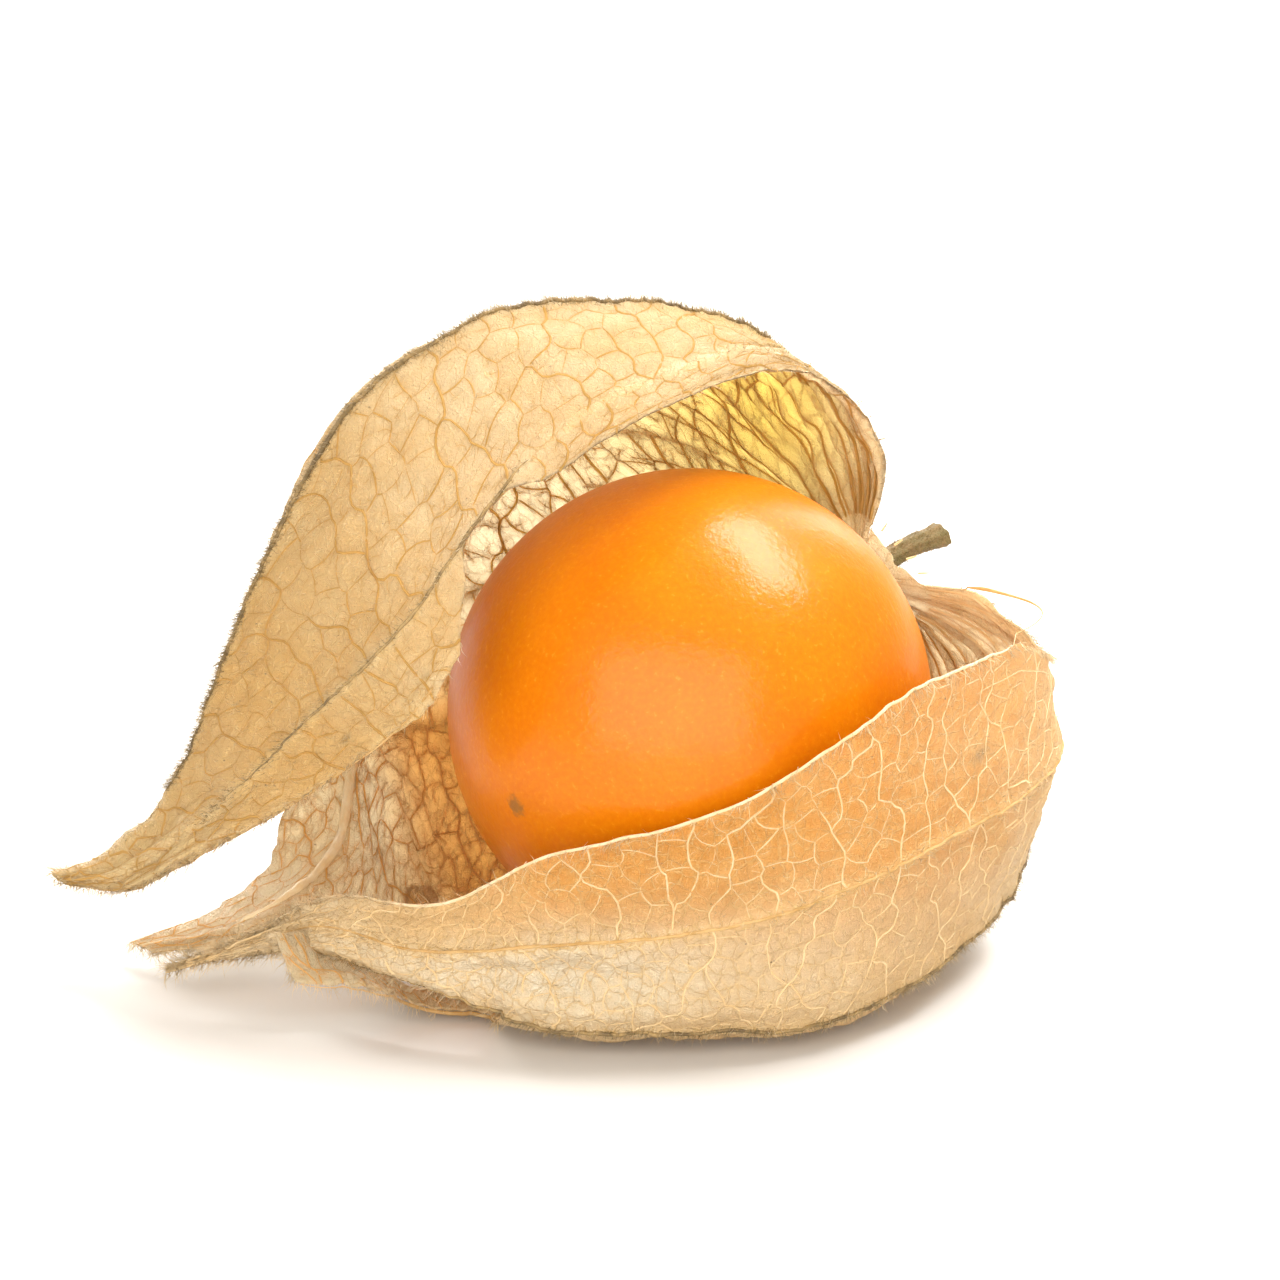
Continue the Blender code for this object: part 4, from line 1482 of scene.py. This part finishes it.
@dataclass
class HairCoat:
    """A coat of fine hairs, one bent hair copied to each root."""

    name: str
    roots: np.ndarray
    ways: np.ndarray
    lengths: np.ndarray
    width: float
    seed: int = 2

    def build(self) -> bpy.types.Object:
        """Copies the hair to every root in one mesh."""
        places, faces = self._one_hair()
        random = np.random.default_rng(self.seed)
        way = self.ways / np.linalg.norm(self.ways, axis=1, keepdims=True)
        helper = random.normal(size=way.shape)
        side = np.cross(way, helper)
        side /= np.linalg.norm(side, axis=1, keepdims=True)
        front = np.cross(way, side)
        spread = np.stack((side, front), axis=1) * self.width
        copies = (self.roots[:, None]
                  + places[None, :, 0:1] * spread[:, None, 0]
                  + places[None, :, 1:2] * spread[:, None, 1]
                  + places[None, :, 2:3] * (way * self.lengths[:, None])[:, None]
                  + places[None, :, 2:3] ** 2 * (side * (0.3 * self.lengths)[:, None])[:, None])
        copies[..., 2] = np.maximum(copies[..., 2], 0.01)
        shift = (np.arange(len(self.roots)) * len(places))[:, None, None]
        mesh = mesh_from(self.name, copies.reshape(-1, 3) * MM, (faces[None] + shift).reshape(-1, 3))
        piece = add_object(self.name, mesh)
        only(piece)
        bpy.ops.object.shade_smooth()
        return piece

    @staticmethod
    def _one_hair() -> tuple[np.ndarray, np.ndarray]:
        """Models one hair of unit length and half width.

        Returns:
            Its places and its triangles.
        """
        bpy.ops.object.select_all(action="DESELECT")
        bpy.ops.mesh.primitive_cone_add(vertices=3, radius1=1.0, radius2=0.0, depth=1.0,
                                        location=(0, 0, 0.5))
        hair = bpy.context.object
        bpy.ops.object.transform_apply(location=True, rotation=True, scale=True)
        bpy.ops.object.mode_set(mode="EDIT")
        bpy.ops.mesh.select_all(action="SELECT")
        bpy.ops.mesh.bisect(plane_co=(0, 0, 0.5), plane_no=(0, 0, 1))
        bpy.ops.mesh.select_all(action="SELECT")
        bpy.ops.mesh.quads_convert_to_tris()
        bpy.ops.object.mode_set(mode="OBJECT")
        places = np.array([corner.co[:] for corner in hair.data.vertices])
        faces = np.array([face.vertices[:] for face in hair.data.polygons])
        bpy.data.objects.remove(hair, do_unlink=True)
        return places, faces


@dataclass
class Fuzz:
    """All the hairs of the husk and the stem."""

    husk: Husk
    seed: int = 21

    def build(self) -> None:
        """Builds the dark fuzz of the ribs, the pale hairs of the edges and the down of the paper."""
        pale = HairFinish("hair_pale_look", (0.90, 0.76, 0.52)).make()
        dark = HairFinish("hair_dark_look", (0.50, 0.38, 0.20), 0.25).make()
        self.random = np.random.default_rng(self.seed)
        coats = (
            ("fuzz_ribs", self._roots(self._dark_ribs, 6500), (0.22, 0.48), 0.012, dark),
            ("fuzz_pale_ribs", self._roots(self._pale_ribs, 3600), (0.25, 0.55), 0.016, pale),
            ("fuzz_edges", self._roots(self._edges, 4600), (0.3, 0.9), 0.017, pale),
            ("fuzz_paper", self._roots(self._faces, 4600), (0.2, 0.45), 0.013, pale),
        )
        for name, (roots, ways), (short, long), width, look in coats:
            lengths = self.random.uniform(short, long, len(roots))
            dress(HairCoat(name, roots, ways, lengths, width).build(), look, "husk_paper")

    def _roots(self, weigh: object, count: int) -> tuple[np.ndarray, np.ndarray]:
        """Draws roots over the husk.

        Args:
            weigh: Gives a sheet's weight for each corner.
            count: How many roots.

        Returns:
            Roots and directions.
        """
        places, ways, weights = [], [], []
        for sheet in self.husk.sheets.values():
            tall = np.linalg.norm(np.gradient(sheet.middle, axis=0), axis=-1)
            wide = np.linalg.norm(np.gradient(sheet.middle, axis=1), axis=-1)
            weight = weigh(sheet) * sheet.corner * tall * wide
            outer = sheet.middle + sheet.out * (sheet.thickness / 2)
            places.append(outer.reshape(-1, 3))
            lean = sheet.out + 0.35 * sheet.along
            inward = np.sign(0.5 - sheet.across)[..., None] * sheet.aside
            lean = lean - inward * (0.9 * np.exp(-sheet.edge_gap / 0.15))[..., None]
            ways.append(lean.reshape(-1, 3))
            weights.append(weight.reshape(-1))
        places, ways = np.concatenate(places), np.concatenate(ways)
        weights = np.concatenate(weights)
        drawn = self.random.choice(len(places), count, p=weights / weights.sum())
        jitter = self.random.normal(scale=0.05, size=(count, 3))
        return places[drawn] + jitter, ways[drawn] + self.random.normal(scale=0.38, size=(count, 3))

    @staticmethod
    def _near_rib(sheet: PaperSheet, reach: float) -> np.ndarray:
        """Weight that falls off from the ribs."""
        return np.exp(-(sheet.rib_gap / reach) ** 2)

    def _dark_ribs(self, sheet: PaperSheet) -> np.ndarray:
        """Weight round the dark ribs."""
        number = sheet.used_column + sheet.share
        dark = sum(share * np.exp(-((number - rib) / 0.12) ** 2)
                   for rib, share in ((1.0, 0.16), (2.0, 1.0), (10.0, 0.4)))
        seen = (sheet.row > 1.7) & ((number > 1.3) | (sheet.row > 4.0)) & (sheet.row < 6.9)
        return self._near_rib(sheet, 0.16) * dark * seen

    def _pale_ribs(self, sheet: PaperSheet) -> np.ndarray:
        """Weight round all ribs."""
        return self._near_rib(sheet, 0.3) * (sheet.row > 0.5)

    def _edges(self, sheet: PaperSheet) -> np.ndarray:
        """Weight at torn edges and, more, at the tips."""
        return np.exp(-(sheet.edge_gap / 0.12) ** 2) * (0.3 + 1.6 * smooth_step((sheet.row - 5.5) / 1.5))

    def _faces(self, sheet: PaperSheet) -> np.ndarray:
        """Weight over the paper."""
        return 0.3 + np.exp(-(sheet.vein_gap / 0.15) ** 2) + smooth_step((sheet.row - 4.5) / 2.5)


@dataclass
class Berry:
    """The round fruit with its shallow dimple at the stem."""

    segments: int = 160
    rings: int = 96
    dimple_width: float = 0.30

    def build(self) -> None:
        """Builds and dresses the berry."""
        bpy.ops.object.select_all(action="DESELECT")
        turn = Vector((0, 0, 1)).rotation_difference(Vector(STEM_AXIS)).to_euler()
        bpy.ops.mesh.primitive_uv_sphere_add(segments=self.segments, ring_count=self.rings,
                                             radius=BERRY_RADIUS * MM, location=Vector(BERRY_CENTRE * MM),
                                             rotation=turn)
        berry = bpy.context.object
        apply_turn(berry, "berry_skin")
        noise = LatticeNoise(12)
        places = corner_places(berry)
        ways = (places - BERRY_CENTRE) / BERRY_RADIUS
        height = ways @ STEM_AXIS
        angle = np.arccos(np.clip(height, -1.0, 1.0))
        longer = BERRY_STRETCH * BERRY_RADIUS * height
        dip = DIMPLE_DEPTH * np.exp(-((angle / self.dimple_width) ** 2))
        lumps = 0.035 * noise.at(places, 6.0) * np.sin(angle) ** 2
        places = places + STEM_AXIS * (longer - dip)[:, None] + ways * lumps[:, None]
        move_corners(berry, places)
        bpy.ops.object.shade_smooth()
        dress(berry, SkinFinish().make(), "berry_skin", "berry")


@dataclass
class Stem:
    """The cut stem, bending level out of the husk, with the berry's cushion at its foot."""

    radius: float = 0.48
    length: float = 4.0
    flare: float = 0.18
    cushion_radius: float = 1.45
    cushion_depth: float = 0.45
    cushion_gap: float = 0.35
    hair_count: int = 700
    sides: int = 40

    def build(self) -> None:
        """Builds and dresses the stem."""
        way = self._way()
        bpy.ops.object.select_all(action="DESELECT")
        start, radius = way[0]
        turn = Vector((0, 0, 1)).rotation_difference(Vector(STEM_AXIS)).to_euler()
        bpy.ops.mesh.primitive_circle_add(vertices=self.sides, radius=radius * MM, fill_type="NGON",
                                          location=Vector(start * MM), rotation=turn)
        stem = bpy.context.object
        apply_turn(stem, "stem_stalk")
        bpy.ops.object.mode_set(mode="EDIT")
        bpy.ops.mesh.select_all(action="SELECT")
        for (old, old_radius), (new, new_radius) in zip(way, way[1:]):
            bpy.ops.mesh.extrude_region_move(TRANSFORM_OT_translate={"value": Vector((new - old) * MM)})
            bpy.ops.transform.resize(value=(new_radius / old_radius,) * 3, center_override=Vector(new * MM))
        bpy.ops.mesh.inset(thickness=0.12 * MM, depth=-0.05 * MM)
        bpy.ops.mesh.select_all(action="SELECT")
        bpy.ops.mesh.normals_make_consistent(inside=False)
        bpy.ops.object.mode_set(mode="OBJECT")
        self._ridges(stem)
        smooth_by_angle(stem, 45.0)
        dress(stem, BarkFinish().make(), "stem_bark", "stem")
        self._hairs()

    def _way(self) -> list[tuple[np.ndarray, float]]:
        """The stem's places and radii, from the cushion to the cut end."""
        start = BERRY_RADIUS * (1.0 + BERRY_STRETCH) - DIMPLE_DEPTH + self.cushion_gap
        cushion = ((0.0, 0.8), (0.12, 0.94), (0.4, 1.0), (0.75, 0.96), (1.0, 0.85))
        way = [(BERRY_CENTRE + STEM_AXIS * (start + depth * self.cushion_depth), share * self.cushion_radius)
               for depth, share in cushion]
        way.append((BERRY_CENTRE + STEM_AXIS * (start + 1.05 * self.cushion_depth), self.radius))
        way.append((HOLE_CENTRE + STEM_AXIS * HUSK_THICKNESS, self.radius))
        bends = 24
        for bend in range(1, bends + 1):
            share = bend / bends
            heading = STEM_AXIS + (STEM_HEADING - STEM_AXIS) * min(1.0, 1.4 * share)
            heading = heading / np.linalg.norm(heading)
            swell = 1.0 + self.flare * share ** 6 - 0.06 * math.sin(math.pi * share)
            way.append((way[-1][0] + heading * self.length / bends, self.radius * swell))
        self.line = np.array([place for place, _radius in way[6:]])
        return way

    def _ridges(self, stem: bpy.types.Object) -> None:
        """Gives the stalk its fine lengthways ridges."""
        places = corner_places(stem)
        noise = LatticeNoise(17)
        near = self.line[np.argmin(np.linalg.norm(places[:, None] - self.line[None], axis=2), axis=1)]
        away = places - near
        turn = np.arctan2(away @ AXIS_SIDE, away @ AXIS_UP)
        rise = 0.035 * np.sin(turn * 7.0) + 0.03 * noise.at(places, 0.5)
        size = np.linalg.norm(away, axis=1, keepdims=True)
        places = places + np.where(size > 0.2, away / np.maximum(size, 1e-6), 0.0) * rise[:, None]
        move_corners(stem, places)

    def _hairs(self) -> None:
        """Short pale hairs round the stalk."""
        random = np.random.default_rng(31)
        count = self.hair_count
        spots = self.line[random.integers(1, len(self.line) - 1, count)]
        turns = random.uniform(0.0, 2.0 * np.pi, count)
        round_stem = np.cos(turns)[:, None] * AXIS_UP + np.sin(turns)[:, None] * AXIS_SIDE
        spots = spots + STEM_AXIS * random.uniform(-0.1, 0.1, (count, 1)) + round_stem * (self.radius * 0.95)
        ways = round_stem + STEM_AXIS * 0.3 + random.normal(scale=0.3, size=(count, 3))
        coat = HairCoat("fuzz_stem", spots, ways, random.uniform(0.12, 0.32, count), 0.010)
        dress(coat.build(), HairFinish("hair_stem_look", (0.46, 0.34, 0.17)).make(), "stem_bark")


@dataclass
class Studio:
    """Floor, soft lights and the camera."""

    elevation: float = 18.0
    distance: float = 220.0
    lens: float = 150.36
    room_light: float = 0.75
    aim: Point = (-2.06, 0.89, 13.59)

    def build(self) -> None:
        """Sets up the studio."""
        self._camera()
        self._floor()
        self._lights()

    def _camera(self) -> None:
        """Places the camera a little above the object, looking slightly down on it."""
        angle = math.radians(self.elevation)
        back = Vector((0.0, -math.cos(angle), math.sin(angle)))
        eye = bpy.data.objects.new("camera", bpy.data.cameras.new("camera"))
        eye.data.lens = self.lens
        eye.data.clip_start = 0.01
        eye.location = (Vector(self.aim) + back * self.distance) * MM
        eye.rotation_euler = (-back).to_track_quat("-Z", "Y").to_euler()
        bpy.context.scene.collection.objects.link(eye)
        bpy.context.scene.camera = eye

    def _floor(self) -> None:
        """A wide white table."""
        bpy.ops.object.select_all(action="DESELECT")
        bpy.ops.mesh.primitive_plane_add(size=6.0, location=(0.0, 0.0, -0.00002))
        floor = bpy.context.object
        floor.name = "floor"
        floor.data.materials.append(FloorFinish().make())

    def _lights(self) -> None:
        """A bright overhead panel from the right and back, a weak front panel and a white room."""
        self._room()
        centre = Vector(BERRY_CENTRE * MM)
        for name, way, far, size, power, colour in (
            ("overhead_panel", (0.40, 0.27, 0.87), 0.42, (0.30, 0.15), 3.2, (1.0, 0.98, 0.95)),
            ("back_panel", (-0.1, 0.90, 0.40), 0.6, (0.8, 0.4), 6.2, (1.0, 0.98, 0.94)),
            ("front_panel", (-0.15, -0.93, 0.33), 0.55, (0.85, 0.60), 5.5, (1.0, 0.95, 0.87)),
        ):
            data = bpy.data.lights.new(name, "AREA")
            data.shape = "RECTANGLE"
            data.size, data.size_y = size
            data.energy = power
            data.color = colour
            lamp = bpy.data.objects.new(name, data)
            direction = Vector(way).normalized()
            lamp.location = centre + direction * far
            lamp.rotation_euler = direction.to_track_quat("Z", "Y").to_euler()
            bpy.context.scene.collection.objects.link(lamp)
        bpy.context.scene.view_settings.view_transform = "Standard"

    def _room(self) -> None:
        """A white room, dimmer as a light than as a background."""
        world = bpy.data.worlds.new("room")
        bpy.context.scene.world = world
        world.use_nodes = True
        tree = world.node_tree
        back = tree.nodes["Background"]
        back.inputs["Color"].default_value = (1.0, 0.86, 0.72, 1.0)
        rays = tree.nodes.new("ShaderNodeLightPath")
        strength = tree.nodes.new("ShaderNodeMapRange")
        strength.inputs["To Min"].default_value = self.room_light
        strength.inputs["To Max"].default_value = 1.0
        tree.links.new(rays.outputs["Is Camera Ray"], strength.inputs["Value"])
        tree.links.new(strength.outputs["Result"], back.inputs["Strength"])


def main() -> None:
    """Builds the pieces in order and writes how large the looks are."""
    logging.basicConfig(level=logging.INFO, format="%(name)s %(message)s")
    Studio().build()
    Berry().build()
    Stem().build()
    husk = Husk()
    husk.build()
    Fuzz(husk).build()


if __name__ == "__main__":
    main()
